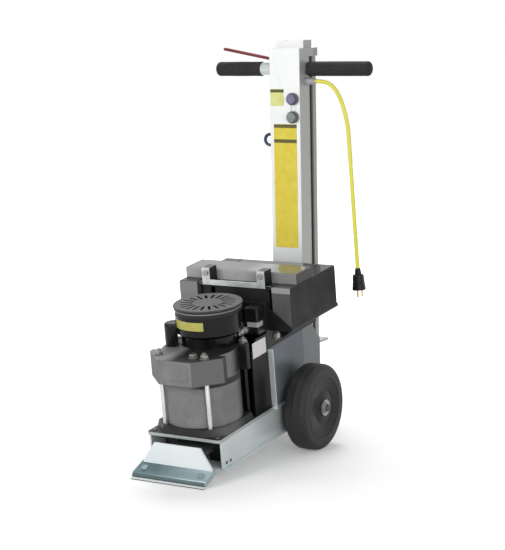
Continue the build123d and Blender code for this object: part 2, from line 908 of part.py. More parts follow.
for hand, inner, label in ((-1, left_grip_in, "grip_left"), (1, right_grip_in, "grip_right")):
    with BuildPart() as grip:
        with BuildSketch(Plane.YZ.offset(hand * inner)):
            with Locations((bar_y, bar_z)):
                Circle(grip_r)
        extrude(amount=hand * (grip_end - inner))
        fillet(grip.edges().sort_by(Axis.X)[0 if hand < 0 else -1], 9)
        fillet(grip.edges().sort_by(Axis.X)[-1 if hand < 0 else 0], 2)
        with BuildSketch(Plane.YZ.offset(hand * inner)):
            with Locations((bar_y, bar_z)):
                Circle(bar_r + fit)
        extrude(amount=hand * (grip_end - 8 - inner), mode=Mode.SUBTRACT)
    save(grip, label)

hub_half = 5.5
ear_r = 6.0
with BuildPart() as lever_bracket:
    with BuildSketch(Plane.YZ.offset(-post_half)):
        block(bar_y - 18, bar_y + 14, bar_z - 41, pivot_z - 2)
    extrude(amount=-4)
    for ear in (bar_y - hub_half - 4.4, bar_y + hub_half + 0.4):
        with BuildSketch(Plane.XZ.offset(-ear - 4)):
            with BuildLine():
                Polyline(
                    (-post_half, pivot_z - 14),
                    (pivot_x, pivot_z - ear_r),
                    (pivot_x - ear_r, pivot_z),
                    (pivot_x, pivot_z + ear_r),
                    (-post_half, pivot_z + ear_r),
                    close=True,
                )
            make_face()
        extrude(amount=4)
    with BuildSketch(Plane.YZ.offset(-post_half)):
        with Locations((bar_y, bar_z)):
            Circle(16)
    extrude(amount=post_half - left_grip_in)
    with BuildSketch(Plane.XZ.offset(-bar_y - hub_half - 6.4)):
        with Locations((pivot_x, pivot_z)):
            Circle(3)
    extrude(amount=2 * hub_half + 12.8)
    with BuildSketch(Plane.YZ.offset(-post_half + 1)):
        with Locations((bar_y, bar_z)):
            Circle(bar_r + fit)
    extrude(amount=post_half - left_grip_in - 2, mode=Mode.SUBTRACT)
save(lever_bracket, "lever_bracket")

rise = math.radians(lever_rise)
lever_dir = (-math.cos(rise), 0, math.sin(rise))
lever_plane = Plane(origin=(pivot_x, bar_y, pivot_z), x_dir=lever_dir, z_dir=(0, 1, 0))
with BuildPart() as dead_man_lever:
    with BuildSketch(lever_plane.offset(-hub_half)):
        Circle(7)
        with Locations((lever_length / 2, 0)):
            SlotOverall(lever_length + 4, 7)
        Circle(3 + fit, mode=Mode.SUBTRACT)
    extrude(amount=2 * hub_half)
save(dead_man_lever, "dead_man_lever")

# Push buttons in their collars on the front of the post.
with BuildPart() as button_bezels:
    with BuildSketch(Plane.XZ.offset(-post_y)):
        with Locations(*[(button_x, z) for z in button_zs]):
            Circle(bezel_r)
            Circle(button_r + 0.35, mode=Mode.SUBTRACT)
    extrude(amount=10)
    rims = [e for e in button_bezels.edges().group_by(Axis.Y)[0] if e.radius > button_r + 1]
    fillet(rims, 2)
save(button_bezels, "button_bezels")

for z, label in zip(button_zs, ("start_button", "stop_button")):
    with BuildPart() as button:
        with BuildSketch(Plane.XZ.offset(-post_y + press + 1)):
            with Locations((button_x, z)):
                Circle(button_r)
        extrude(amount=11)
        fillet(button.edges().sort_by(Axis.Y)[0], 2)
        with BuildSketch(Plane.XZ.offset(-post_y + press + 1)):
            with Locations((button_x, z)):
                Circle(5.2)
        extrude(amount=2 - core_front)
    save(button, label)

# Plain unlettered plates: two on the post and one on the near guard.
with BuildPart() as blank_plates:
    with BuildSketch(Plane.XZ.offset(-post_y)):
        block(2 - post_half, small_plate - 3 - post_half, post_top - 101.5 - small_plate, post_top - 101.5)
        block(-plate_half, plate_half, post_top - 190.5 - plate_long, post_top - 190.5)
    extrude(amount=0.8)
    with BuildSketch(across(plate_out)):
        block(guard_front + 5, guard_front + 67, tower_top - 4, tower_top + 34)
    extrude(amount=1)
save(blank_plates, "blank_plates")

# Cord loop on the far side of the post.
loop_y = post_y + 12
loop_z = post_top - 231.5
with BuildPart() as cord_loop:
    with BuildLine():
        neck_x = -post_half - 9
        Line((-post_half, loop_y, loop_z + loop_bend), (neck_x, loop_y, loop_z + loop_bend))
        ThreePointArc(
            (neck_x, loop_y, loop_z + loop_bend),
            (neck_x - loop_bend, loop_y, loop_z),
            (neck_x, loop_y, loop_z - loop_bend),
        )
        Line((neck_x, loop_y, loop_z - loop_bend), (-post_half, loop_y, loop_z - loop_bend))
    with BuildSketch(Plane.YZ.offset(-post_half)):
        with Locations((loop_y, loop_z + loop_bend)):
            Circle(loop_r)
    sweep()
save(cord_loop, "cord_loop")

# Cord: gland, tube along runs joined by arcs, and a moulded plug with three pins.
with BuildPart() as cord_gland:
    with BuildSketch(Plane.YZ.offset(post_half)):
        with Locations((gland_y, gland_z)):
            RegularPolygon(11, 6, rotation=30)
    extrude(amount=8)
    with BuildSketch(Plane.YZ.offset(post_half + 8)):
        with Locations((gland_y, gland_z)):
            Circle(9.5)
    with BuildSketch(Plane.YZ.offset(post_half + 28)):
        with Locations((gland_y, gland_z)):
            Circle(7)
    loft()
save(cord_gland, "cord_gland")

cord_start = post_half + 28
turns = (0, 25, 50, 66, 75)
runs = (24, 24, 26, 34, 50)
spots = [Vector(cord_start, gland_y, gland_z)]
for turn, run in zip(turns, runs):
    angle = math.radians(turn)
    spots.append(spots[-1] + Vector(run * math.cos(angle), 0, -run * math.sin(angle)))
hang = math.radians(86.3)
hang_run = 362.0
hang_dir = Vector(math.cos(hang), 0, -math.sin(hang))
spots.append(spots[-1] + hang_dir * hang_run)
legs = [spots[i + 1] - spots[i] for i in range(len(spots) - 1)]
radii = []
for one, two in zip(legs[:-1], legs[1:]):
    half_turn = math.radians(one.get_angle(two)) / 2
    radii.append(0.45 * min(one.length, two.length) / math.tan(half_turn))
print("cord radii", [round(r, 1) for r in radii])
with BuildPart() as power_cord:
    with BuildLine() as cord_path:
        FilletPolyline(*spots, radius=radii)
    with BuildSketch(Plane.YZ.offset(cord_start)):
        with Locations((gland_y, gland_z)):
            Circle(cord_r)
    sweep()
cord_length = sum(edge.length for edge in cord_path.edges())
print("cord length", round(cord_length, 1))
ideal_volume = math.pi * cord_r**2 * cord_length
print("cord volume against section times length", round(power_cord.part.volume / ideal_volume, 4))
save(power_cord, "power_cord")

plug_plane = Plane(origin=spots[-1], x_dir=(0, 1, 0), z_dir=hang_dir)
with BuildPart() as plug_body:
    with BuildSketch(plug_plane):
        Circle(7)
    with BuildSketch(plug_plane.offset(16)):
        Circle(9)
    loft()
    with BuildSketch(plug_plane.offset(16)):
        Circle(13)
    with BuildSketch(plug_plane.offset(56)):
        Circle(16.5)
    loft()
    fillet(plug_body.edges().filter_by(GeomType.CIRCLE).sort_by(Axis.Z)[0], 3)
save(plug_body, "plug_body")

with BuildPart() as plug_prongs:
    with BuildSketch(plug_plane.offset(56)):
        with Locations((3.2, -6.35), (3.2, 6.35)):
            Rectangle(6.3, 1.6)
        with Locations((-8, 0)):
            Circle(2.4)
    extrude(amount=17)
save(plug_prongs, "plug_prongs")

# Visible bolt heads of the frame: tray, deck and saddle.
with BuildPart() as frame_bolts:
    for hand in (-1, 1):
        for y in (tower_front + 45.5, tray_back - 23):
            with BuildSketch(across(hand * plate_out)):
                with Locations((y, tower_top + 22)):
                    RegularPolygon(9, 6)
            extrude(amount=hand * 6)
        for y, z in ((post_y + 22, post_foot + 55), (post_y + 62, post_foot + 55)):
            with BuildSketch(Plane.YZ.offset(hand * bracket_out)):
                with Locations((y, z)):
                    RegularPolygon(8, 6)
            extrude(amount=hand * 5)
        with BuildSketch(across(hand * channel_half)):
            with Locations((channel_front + 18, floor_top + 9), (channel_front + 36, floor_top + 9)):
                Circle(4)
        extrude(amount=hand * 2)
    with BuildSketch(deck(deck_top)):
        with Locations((13.4 - deck_half, deck_front + 14), (deck_half - 13.4, deck_front + 14)):
            Circle(6)
    extrude(amount=4)
save(frame_bolts, "frame_bolts")

print("pieces", len(os.listdir("parts")))
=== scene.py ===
import json
import math

import bmesh
import bpy
import numpy as np
from mathutils import Matrix, Vector


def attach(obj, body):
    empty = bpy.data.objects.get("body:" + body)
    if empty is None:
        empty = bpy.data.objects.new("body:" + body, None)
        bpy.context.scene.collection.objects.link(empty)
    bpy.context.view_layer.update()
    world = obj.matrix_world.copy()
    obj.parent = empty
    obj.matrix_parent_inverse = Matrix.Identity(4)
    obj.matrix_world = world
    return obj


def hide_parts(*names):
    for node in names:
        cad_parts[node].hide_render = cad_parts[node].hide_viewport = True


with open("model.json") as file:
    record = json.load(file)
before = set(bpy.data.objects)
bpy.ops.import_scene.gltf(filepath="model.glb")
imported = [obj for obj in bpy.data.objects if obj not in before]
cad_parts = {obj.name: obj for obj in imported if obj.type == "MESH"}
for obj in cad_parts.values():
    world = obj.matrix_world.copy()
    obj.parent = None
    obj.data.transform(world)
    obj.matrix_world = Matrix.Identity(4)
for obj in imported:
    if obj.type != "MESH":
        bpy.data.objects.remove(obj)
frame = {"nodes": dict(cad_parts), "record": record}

scene = bpy.context.scene
nodes = frame["nodes"]
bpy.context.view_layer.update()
print("frame loaded with", len(nodes), "nodes")

# Camera at the photograph's angle, from a fit to the chassis, post and wheels.
cameraSetup = {
    "turn": 32.4,
    "rise": 9.1,
    "roll": -1.4,
    "range": 4.0672,
    "aim": (0.0, -0.187, 0.45),
    "lens": 112.163,
    "sensor": 36.0,
    "shift": (0.09, 0.0131),
}


def aimCamera(setup):
    turn, rise, roll = (math.radians(setup[key]) for key in ("turn", "rise", "roll"))
    back = Vector((math.sin(turn) * math.cos(rise), -math.cos(turn) * math.cos(rise), math.sin(rise)))
    right = Vector((math.cos(turn), math.sin(turn), 0))
    up = back.cross(right)
    side = right * math.cos(roll) + up * math.sin(roll)
    head = up * math.cos(roll) - right * math.sin(roll)
    data = bpy.data.cameras.new("photoCamera")
    data.lens = setup["lens"]
    data.sensor_width = setup["sensor"]
    data.shift_x, data.shift_y = setup["shift"]
    camera = bpy.data.objects.new("photoCamera", data)
    scene.collection.objects.link(camera)
    place = Matrix((side, head, back)).transposed().to_4x4()
    place.translation = Vector(setup["aim"]) + back * setup["range"]
    camera.matrix_world = place
    scene.camera = camera


aimCamera(cameraSetup)
print("camera set")

# Power cord: the same route as the solid, in metres, out of the gland and down to the plug.
cordSetup = {
    "route": [
        (0.0714, 0.256, 0.903),
        (0.0954, 0.256, 0.903),
        (0.11715, 0.256, 0.89286),
        (0.13386, 0.256, 0.87294),
        (0.14769, 0.256, 0.84188),
        (0.16063, 0.256, 0.79358),
        (0.16386, 0.256, 0.74368),
        (0.18399, 0.256, 0.43233),
    ],
    "diameter": 0.01,
    "length": 0.519,
    "order": 3,
    "steps": 24,
    "facets": 6,
}


def layCord(setup):
    data = bpy.data.curves.new("powerCord", "CURVE")
    data.dimensions = "3D"
    data.bevel_depth = 1.0
    data.bevel_resolution = setup["facets"]
    data.resolution_u = setup["steps"]
    data.use_fill_caps = True
    spline = data.splines.new("NURBS")
    spline.points.add(len(setup["route"]) - 1)
    route = np.ones((len(setup["route"]), 4))
    route[:, :3] = setup["route"]
    spline.points.foreach_set("co", route.ravel())
    spline.points.foreach_set("radius", np.full(len(route), setup["diameter"] / 2))
    spline.order_u = setup["order"]
    spline.use_endpoint_u = True
    spline.resolution_u = setup["steps"]
    cord = bpy.data.objects.new("powerCord", data)
    scene.collection.objects.link(cord)
    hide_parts("power_cord")
    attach(cord, "frame")
    return cord


powerCord = layCord(cordSetup)
print("cord laid")

# The chassis slopes: its datum plane meets the floor at back, in millimetres.
chassisSetup = {"pitch": 6.4, "back": -127.0}
chassisBack = chassisSetup["back"]
slopeCos = math.cos(math.radians(chassisSetup["pitch"]))
slopeSin = math.sin(math.radians(chassisSetup["pitch"]))


# Finishes: a socket that takes part in plain arithmetic, and a tree that adds the nodes for it.
class Wire:
    def __init__(self, wiring, socket):
        self.wiring = wiring
        self.socket = socket

    def __add__(self, other):
        return self.wiring.maths("ADD", self, other)

    __radd__ = __add__

    def __sub__(self, other):
        return self.wiring.maths("SUBTRACT", self, other)

    def __rsub__(self, other):
        return self.wiring.maths("SUBTRACT", other, self)

    def __mul__(self, other):
        return self.wiring.maths("MULTIPLY", self, other)

    __rmul__ = __mul__

    def __gt__(self, other):
        return self.wiring.maths("GREATER_THAN", self, other)

    def __lt__(self, other):
        return self.wiring.maths("LESS_THAN", self, other)


class Wiring:
    def __init__(self, tree):
        self.tree = tree

    # Any node: its type, its settings, the values or wires of its sockets, and the output to use.
    def add(self, kind, settings=None, sockets=None, output=0):
        node = self.tree.nodes.new(kind)
        for key, value in (settings or {}).items():
            setattr(node, key, value)
        for key, value in (sockets or {}).items():
            self.feed(node.inputs[key], value)
        return Wire(self, node.outputs[output])

    def feed(self, socket, value):
        if isinstance(value, Wire):
            self.tree.links.new(value.socket, socket)
        elif socket.type == "RGBA" and len(value) == 3:
            socket.default_value = (*value, 1.0)
        else:
            socket.default_value = value

    def maths(self, operation, first, second=0.0):
        return self.add("ShaderNodeMath", {"operation": operation}, {0: first, 1: second})

    def mix(self, factor, first, second):
        return self.add("ShaderNodeMix", {"data_type": "RGBA"}, {0: factor, 6: first, 7: second}, 2)

    def span(self, value, low, high, start=0.0, end=1.0):
        return self.add("ShaderNodeMapRange", None, {0: value, 1: low, 2: high, 3: start, 4: end})

    # Two values in shares that make up one.
    def blend(self, first, second, share):
        return first * share + second * (1 - share)

    # Mask: one for rays that show the background, straight from the camera, mirrored or through glass.
    def seen(self):
        rays = ("Is Camera Ray", "Is Glossy Ray", "Is Transmission Ray")
        most, *others = (self.add("ShaderNodeLightPath", output=ray) for ray in rays)
        for other in others:
            most = self.maths("MAXIMUM", most, other)
        return most


finishes = {}


class Finish(Wiring):
    def __init__(self, name, metallic=0.0, gloss=0.5):
        material = bpy.data.materials.new(name)
        material.use_nodes = True
        super().__init__(material.node_tree)
        self.shader = self.tree.nodes["Principled BSDF"]
        self.where = self.add("ShaderNodeTexCoord", output="Object")
        self.set({"Metallic": metallic, "Specular IOR Level": gloss})
        finishes[name] = material

    def set(self, sockets):
        for key, value in sockets.items():
            self.feed(self.shader.inputs[key], value)

    def noise(self, scale, detail=3.0, rough=0.5, place=None):
        sockets = {"Vector": place or self.where, "Scale": scale, "Detail": detail, "Roughness": rough}
        return self.add("ShaderNodeTexNoise", None, sockets)

    # Noise drawn out into lines by a scale of its own on each axis.
    def lines(self, scale):
        place = self.add("ShaderNodeMapping", None, {"Vector": self.where, "Scale": scale})
        return self.noise(1.0, detail=3.0, rough=0.6, place=place)

    # The middle of a noise, where most of its values lie, spread over a whole range.
    def spread(self, value, start=0.0, end=1.0):
        low, high = 0.3, 0.7
        return self.span(value, low, high, start, end)

    # Turning rings: the sine of the distance from an axle along X.
    def rings(self, axle, count):
        along, above = self.axis("Y") - axle[0], self.axis("Z") - axle[1]
        return self.maths("SINE", self.maths("SQRT", along * along + above * above) * count)

    def bump(self, height, strength, distance):
        sockets = {"Height": height, "Strength": strength, "Distance": distance}
        return self.add("ShaderNodeBump", None, sockets)

    def axis(self, name):
        return self.add("ShaderNodeSeparateXYZ", None, {0: self.where}, name)

    # Height above the chassis datum, which slopes down to the blade.
    def rise(self):
        return self.axis("Z") * slopeCos - (self.axis("Y") - chassisBack / 1000) * slopeSin

    # Distance back along the chassis datum.
    def along(self):
        return (self.axis("Y") - chassisBack / 1000) * slopeCos + self.axis("Z") * slopeSin

    # Mask: one between two limits, either of which may be open, with a soft step there if one is given.
    def within(self, value, low, high, soft):
        steps = []
        if low is not None:
            steps.append(self.span(value, low - soft, low + soft) if soft else value > low)
        if high is not None:
            steps.append(self.span(value, high - soft, high + soft, 1.0, 0.0) if soft else value < high)
        return math.prod(steps[1:], start=steps[0])

    # Mask: one where every measure that is named lies within its limits.
    def masked(self, limits):
        steps = [self.within(measures[name](self), *limit) for name, limit in limits.items()]
        return math.prod(steps[1:], start=steps[0])

    # Each patch is a set of limits and the tone that it lays over the base.
    def patched(self, base, setup):
        for limits, tone in setup.get("patches", []):
            base = self.mix(self.masked(limits), base, tone)
        return base

    # Lacquer: a clear coat of a given weight within its limits.
    def lacquer(self, limits, weight, rough):
        self.set({"Coat Weight": self.masked(limits) * weight, "Coat Roughness": rough})


# Limits on one measure: a low and a high one, and the half-width of the soft step there.
def over(low, soft=0.0):
    return low, None, soft


def under(high, soft=0.0):
    return None, high, soft


def between(low, high, soft=0.0003):
    return low, high, soft


carrierLines, streakReach = (25.0, 120.0, 120.0), 0.02
shadowEdgeScale, shadowEdgeReach = 26.0, 0.03
# What patches are measured by: the floor's axes, the sloping chassis, its front corners, uneven lines,
# among them the uneven edge of the shadow painted on the gear head's top.
measures = {
    "x": lambda made: made.axis("X"),
    "y": lambda made: made.axis("Y"),
    "z": lambda made: made.axis("Z"),
    "width": lambda made: made.maths("ABSOLUTE", made.axis("X")),
    "along": Finish.along,
    "rise": Finish.rise,
    "leftCorner": lambda made: made.along() + made.axis("X"),
    "rightCorner": lambda made: made.along() - made.axis("X"),
    "shadowEdge": lambda made: made.axis("X") + made.noise(shadowEdgeScale) * shadowEdgeReach,
    "streaked": lambda made: made.axis("X") + made.lines(carrierLines) * streakReach,
}
# Faces that several patches end at, in metres, each a little inside the solid's own.
faces = {
    "headTop": 0.3042,
    "headCorner": -0.2107,
    "slabTop": 0.4386,
    "barSide": 0.1574,
    "postSide": 0.0432,
    "bandFoot": 0.965,
}
# The bare edge of the deck and the lacquered tops of the bars.
deckEdge = {"rise": under(0.1161, 0.0002)}
barTop = {"rise": over(0.4122, 0.0006)}


# Plated steel: the base colour clouds between two tones, with fine rolling lines along one axis.
def platedFinish(name, setup):
    made = Finish(name, metallic=setup["metallic"])
    cloud = made.noise(setup["cloud"], detail=4.0, rough=0.55)
    lines = made.lines(setup["lines"])
    tone = made.span(made.blend(cloud, lines, share=0.65), low=0.35, high=0.68)
    made.set({
        "Base Color": made.patched(made.mix(tone, setup["dark"], setup["light"]), setup),
        "Roughness": made.spread(made.blend(lines, cloud, share=0.5), *setup["rough"]),
        "Normal": made.bump(lines, strength=0.06, distance=0.0006),
    })


brightBar = {
    "dark": (0.52, 0.52, 0.52), "light": (0.74, 0.74, 0.73), "metallic": 0.75,
    "cloud": 30.0, "lines": (200.0, 200.0, 60.0), "rough": (0.22, 0.38),
}
dullBar = {
    "dark": (0.26, 0.265, 0.245), "light": (0.4, 0.405, 0.385), "metallic": 0.6,
    "cloud": 30.0, "lines": (200.0, 200.0, 60.0), "rough": (0.28, 0.44),
}
platedSetup = {
    "brightZinc": {
        "dark": (0.62, 0.69, 0.69), "light": (0.78, 0.83, 0.83), "metallic": 0.25,
        "cloud": 7.0, "lines": (30.0, 4.0, 160.0), "rough": (0.28, 0.44),
    },
    "neckZinc": {
        "dark": (0.89, 0.96, 0.98), "light": (0.95, 0.99, 1.0), "metallic": 0.1,
        "cloud": 9.0, "lines": (20.0, 60.0, 8.0), "rough": (0.3, 0.46),
    },
    # Tower side plates: zinc painted much darker than the channel as painted shade, with painted light on
    # the front flange and on the lower front, where the wheel's shadow falls.
    "dullZinc": {
        "dark": (0.064, 0.078, 0.092), "light": (0.095, 0.112, 0.126), "metallic": 0.4,
        "cloud": 8.0, "lines": (20.0, 6.0, 120.0), "rough": (0.34, 0.48),
        "patches": [
            ({"rise": under(0.205, 0.055), "along": under(0.17, 0.04)}, (0.34, 0.39, 0.43)),
            ({"along": under(0.1054)}, (0.88, 0.93, 0.94)),
        ],
    },
    "plainSteel": brightBar,
    "rodSteel": {
        **brightBar,
        "patches": [
            # Painted shade: the rear rods' shanks below the head's top are near black.
            ({"along": over(-0.06), "rise": under(faces["headTop"])}, (0.012, 0.012, 0.012)),
            ({"rise": over(faces["headTop"])}, (0.24, 0.24, 0.235)),
        ],
    },
    "dullSteel": dullBar,
    "frameSteel": {**dullBar, "patches": [({"along": under(-0.1)}, (0.1, 0.11, 0.11))]},
    "postSteel": {
        "dark": (0.8, 0.82, 0.82), "light": (0.9, 0.92, 0.91), "metallic": 0.2,
        "cloud": 6.0, "lines": (260.0, 90.0, 2.0), "rough": (0.3, 0.46),
        "patches": [
            # Painted shade: the post's right side and all right of it darker than the front, the rear
            # channel darker still, and a near-black strip in the groove between the front and rear
            # channels.
            ({"x": over(faces["postSide"])}, (0.44, 0.45, 0.435)),
            ({"x": over(faces["postSide"]), "y": over(0.29)}, (0.335, 0.34, 0.33)),
            ({"x": over(0.04), "z": under(faces["bandFoot"]), "y": between(0.279, 0.29, 0.0016)},
             (0.06, 0.061, 0.06)),
        ],
    },
    "coreGrey": {
        "dark": (0.3, 0.305, 0.3), "light": (0.42, 0.425, 0.42), "metallic": 0.2,
        "cloud": 9.0, "lines": (120.0, 40.0, 4.0), "rough": (0.32, 0.48),
        "patches": [
            # Painted light and shade, as on the post: the core's front pale, its right side at the post's
            # side tone, and near black in the groove below the band.
            ({"x": over(0.0398)}, (0.44, 0.45, 0.435)),
            ({"y": under(0.2487)}, (0.8, 0.81, 0.8)),
            ({"z": under(faces["bandFoot"]), "y": over(0.278)}, (0.06, 0.061, 0.06)),
        ],
    },
    "clampZinc": {
        "dark": (0.44, 0.46, 0.465), "light": (0.7, 0.72, 0.725), "metallic": 0.4,
        "cloud": 45.0, "lines": (20.0, 60.0, 160.0), "rough": (0.28, 0.42),
        # Painted shade: the hold-down uprights are near black behind their front face, on their shaded
        # sides.
        "patches": [({"along": over(0.1262)}, (0.016, 0.016, 0.017))],
    },
    "bracketGrey": {
        "dark": (0.34, 0.36, 0.365), "light": (0.48, 0.5, 0.505), "metallic": 0.4,
        "cloud": 9.0, "lines": (120.0, 40.0, 8.0), "rough": (0.3, 0.46),
        # Painted shade: the right-hand faces darker.
        "patches": [({"x": over(0.0486)}, (0.125, 0.137, 0.14))],
    },
    "carrierBolt": {
        "dark": (0.2, 0.27, 0.28), "light": (0.34, 0.42, 0.43), "metallic": 0.4,
        "cloud": 60.0, "lines": (120.0, 120.0, 60.0), "rough": (0.28, 0.44),
    },
    "machinedSteel": {
        "dark": (0.26, 0.26, 0.26), "light": (0.42, 0.42, 0.42), "metallic": 0.9,
        "cloud": 30.0, "lines": (60.0, 60.0, 300.0), "rough": (0.28, 0.45),
    },
    "darkSteel": {
        "dark": (0.03, 0.03, 0.031), "light": (0.06, 0.06, 0.06), "metallic": 0.6,
        "cloud": 40.0, "lines": (60.0, 200.0, 200.0), "rough": (0.32, 0.5),
    },
    "brassPins": {
        "dark": (0.45, 0.34, 0.12), "light": (0.72, 0.58, 0.26), "metallic": 0.9,
        "cloud": 60.0, "lines": (200.0, 200.0, 60.0), "rough": (0.22, 0.38),
    },
}


# Paint: nearly even colour with dust in soft clouds and a faint orange-peel bump, bare metal in places.
def paintFinish(name, setup):
    made = Finish(name, gloss=setup["gloss"])
    dust = made.span(made.noise(setup["cloud"], detail=5.0, rough=0.6), low=0.42, high=0.75)
    peel = made.noise(setup["peel"], detail=2.0)
    made.set({
        "Base Color": made.patched(made.mix(dust, setup["dark"], setup["light"]), setup),
        "Roughness": made.span(dust, 0.0, 1.0, *setup["rough"]),
        "Normal": made.bump(peel, setup["bump"], distance=0.0005),
    })
    if "bare" in setup:
        limits, metallic = setup["bare"]
        made.set({"Metallic": made.masked(limits) * metallic})


paintSetup = {
    "satinBlack": {
        "dark": (0.011, 0.011, 0.012), "light": (0.022, 0.022, 0.023), "cloud": 14.0,
        "peel": 900.0, "rough": (0.35, 0.55), "gloss": 0.16, "bump": 0.15,
    },
    "trayBlack": {
        "dark": (0.03, 0.03, 0.031), "light": (0.05, 0.05, 0.051), "cloud": 10.0,
        "peel": 600.0, "rough": (0.08, 0.18), "gloss": 0.55, "bump": 0.06,
    },
    "motorBlack": {
        "dark": (0.005, 0.005, 0.0052), "light": (0.012, 0.012, 0.0125), "cloud": 18.0,
        "peel": 700.0, "rough": (0.12, 0.28), "gloss": 0.2, "bump": 0.08,
    },
    "boxBlack": {
        "dark": (0.01, 0.01, 0.011), "light": (0.024, 0.024, 0.025), "cloud": 30.0,
        "peel": 700.0, "rough": (0.28, 0.45), "gloss": 0.25, "bump": 0.12,
        "patches": [
            ({"x": over(0.0645), "rise": between(0.326, 0.338), "along": under(0.094)},
             (0.5, 0.5, 0.505)),
        ],
    },
    "deckBlack": {
        "dark": (0.02, 0.02, 0.021), "light": (0.042, 0.042, 0.044), "cloud": 14.0,
        "peel": 900.0, "rough": (0.35, 0.55), "gloss": 0.18, "bump": 0.15,
        "patches": [
            ({"x": over(0.0625, 0.0125), "along": between(-0.125, -0.045, 0.02)}, (0.13, 0.13, 0.132)),
            (deckEdge, (0.46, 0.5, 0.5)),
        ],
        "bare": (deckEdge, 0.4),
    },
    "redLever": {
        "dark": (0.16, 0.014, 0.016), "light": (0.26, 0.03, 0.032), "cloud": 40.0,
        "peel": 500.0, "rough": (0.35, 0.5), "gloss": 0.3, "bump": 0.1,
    },
    "loopBlue": {
        "dark": (0.022, 0.038, 0.09), "light": (0.05, 0.075, 0.15), "cloud": 60.0,
        "peel": 500.0, "rough": (0.3, 0.45), "gloss": 0.3, "bump": 0.1,
    },
}


# Casting: a mottled tone with darker pits over a bump of sand and mottle, lacquered in places.
def castFinish(name, setup):
    made = Finish(name, gloss=setup["gloss"])
    sand = made.noise(setup["grain"], detail=3.0, rough=0.65)
    mottle = made.noise(setup["cloud"], detail=4.0, rough=0.6)
    paint = made.mix(made.spread(mottle), setup["dark"], setup["light"])
    if "pit" in setup:
        paint = made.mix(made.span(sand, low=0.3, high=0.42), setup["pit"], paint)
    share, deep = setup["sand"]
    made.set({
        "Base Color": made.patched(paint, setup),
        "Roughness": made.spread(mottle, *setup["rough"]),
        "Normal": made.bump(made.blend(sand, mottle, share), setup["bump"], deep),
    })
    if "lacquer" in setup:
        made.lacquer(*setup["lacquer"])


castSetup = {
    "greyCasting": {
        "dark": (0.205, 0.205, 0.207), "light": (0.285, 0.285, 0.287), "pit": (0.11, 0.11, 0.112),
        "grain": 420.0, "cloud": 24.0, "rough": (0.45, 0.62), "gloss": 0.25, "bump": 0.35,
        "sand": (0.7, 0.0012),
        "patches": [
            # Painted shadow: the head's top is near black right of the middle, where the motor's shadow
            # falls, with an uneven edge.
            ({"shadowEdge": over(-0.001, 0.011), "rise": over(faces["headTop"])}, (0.01, 0.01, 0.01)),
            # Painted shade: the left and right chamfer facets darker, and the right side, the upper right
            # and the rear of the head and housing near black.
            ({"leftCorner": under(faces["headCorner"])}, (0.145, 0.145, 0.147)),
            ({"x": over(0.1009), "rise": under(faces["headTop"])}, (0.055, 0.055, 0.056)),
            ({"rightCorner": under(faces["headCorner"]), "rise": under(faces["headTop"])},
             (0.165, 0.165, 0.167)),
            ({"along": over(-0.025, 0.02)}, (0.03, 0.03, 0.03)),
            ({"x": over(0.05), "rise": over(0.243, 0.009), "along": over(-0.049, 0.013)},
             (0.012, 0.012, 0.012)),
            ({"along": over(-0.004, 0.004)}, (0.012, 0.012, 0.012)),
            # Painted shadow: a dark band on the housing just under the head's overhang.
            ({"rise": between(0.2285, 0.2438, 0.0016), "x": over(0.0325, 0.0125)}, (0.035, 0.035, 0.035)),
        ],
    },
    "capCasting": {
        "dark": (0.038, 0.038, 0.04), "light": (0.068, 0.068, 0.07), "pit": (0.024, 0.024, 0.026),
        "grain": 420.0, "cloud": 30.0, "rough": (0.42, 0.58), "gloss": 0.3, "bump": 0.3,
        "sand": (0.7, 0.0012),
        "patches": [
            # Below the rim the cover is near black, with a thin band painted pale as a highlight.
            ({"rise": under(0.3974)}, (0.008, 0.008, 0.0085)),
            ({"rise": between(0.3898, 0.393)}, (0.3, 0.3, 0.302)),
        ],
    },
    "slabIron": {
        "dark": (0.44, 0.44, 0.445), "light": (0.54, 0.54, 0.545), "pit": (0.3, 0.3, 0.302),
        "grain": 300.0, "cloud": 14.0, "rough": (0.28, 0.45), "gloss": 0.2, "bump": 0.2,
        "sand": (0.7, 0.0012),
        "patches": [
            ({"rise": over(faces["slabTop"])}, (0.26, 0.26, 0.262)),
            # Painted shade: the right part of the top and of the front darker, and the right end near
            # black.
            ({"x": over(0.065, 0.025), "rise": over(faces["slabTop"])}, (0.09, 0.09, 0.09)),
            ({"x": over(0.07, 0.05), "rise": under(faces["slabTop"])}, (0.28, 0.28, 0.275)),
            ({"x": over(faces["barSide"])}, (0.035, 0.035, 0.035)),
        ],
        "lacquer": ({"x": over(0.025, 0.025), "rise": over(faces["slabTop"])}, 1.0, 0.08),
    },
    "ballastIron": {
        "dark": (0.095, 0.095, 0.1), "light": (0.14, 0.14, 0.145),
        "grain": 300.0, "cloud": 16.0, "rough": (0.42, 0.6), "gloss": 0.12, "bump": 0.3,
        "sand": (1.0, 0.001),
        "patches": [
            # Painted light and shade: a pale band along the top of the right bar's front and a pale front
            # on the left bar as painted light, the outer sides near black as painted shade; the tops are
            # darker and lacquered.
            ({"x": over(0.0), "along": under(0.1256), "rise": over(0.398)}, (0.38, 0.38, 0.385)),
            ({"x": under(0.0), "along": under(0.1262)}, (0.29, 0.29, 0.295)),
            ({"width": over(faces["barSide"])}, (0.02, 0.02, 0.0195)),
            (barTop, (0.03, 0.03, 0.032)),
        ],
        "lacquer": (barTop, 0.5, 0.1),
    },
}


# Moulded rubber or plastic: fine grain or turning rings, small scuffs that lift the tone.
def mouldedFinish(name, setup):
    made = Finish(name, gloss=setup["gloss"])
    grain = made.rings(*setup["rings"]) if "rings" in setup else made.noise(setup["grain"], detail=2.0)
    patchy = made.noise(setup["cloud"], detail=5.0, rough=0.7)
    scuff = made.span(patchy, low=setup.get("scuff", 0.5), high=0.8)
    made.set({
        "Base Color": made.mix(scuff, setup["dark"], setup["light"]),
        "Roughness": made.span(scuff, 0.0, 1.0, *setup["rough"]),
        "Normal": made.bump(grain, setup["bump"], distance=0.0004),
    })


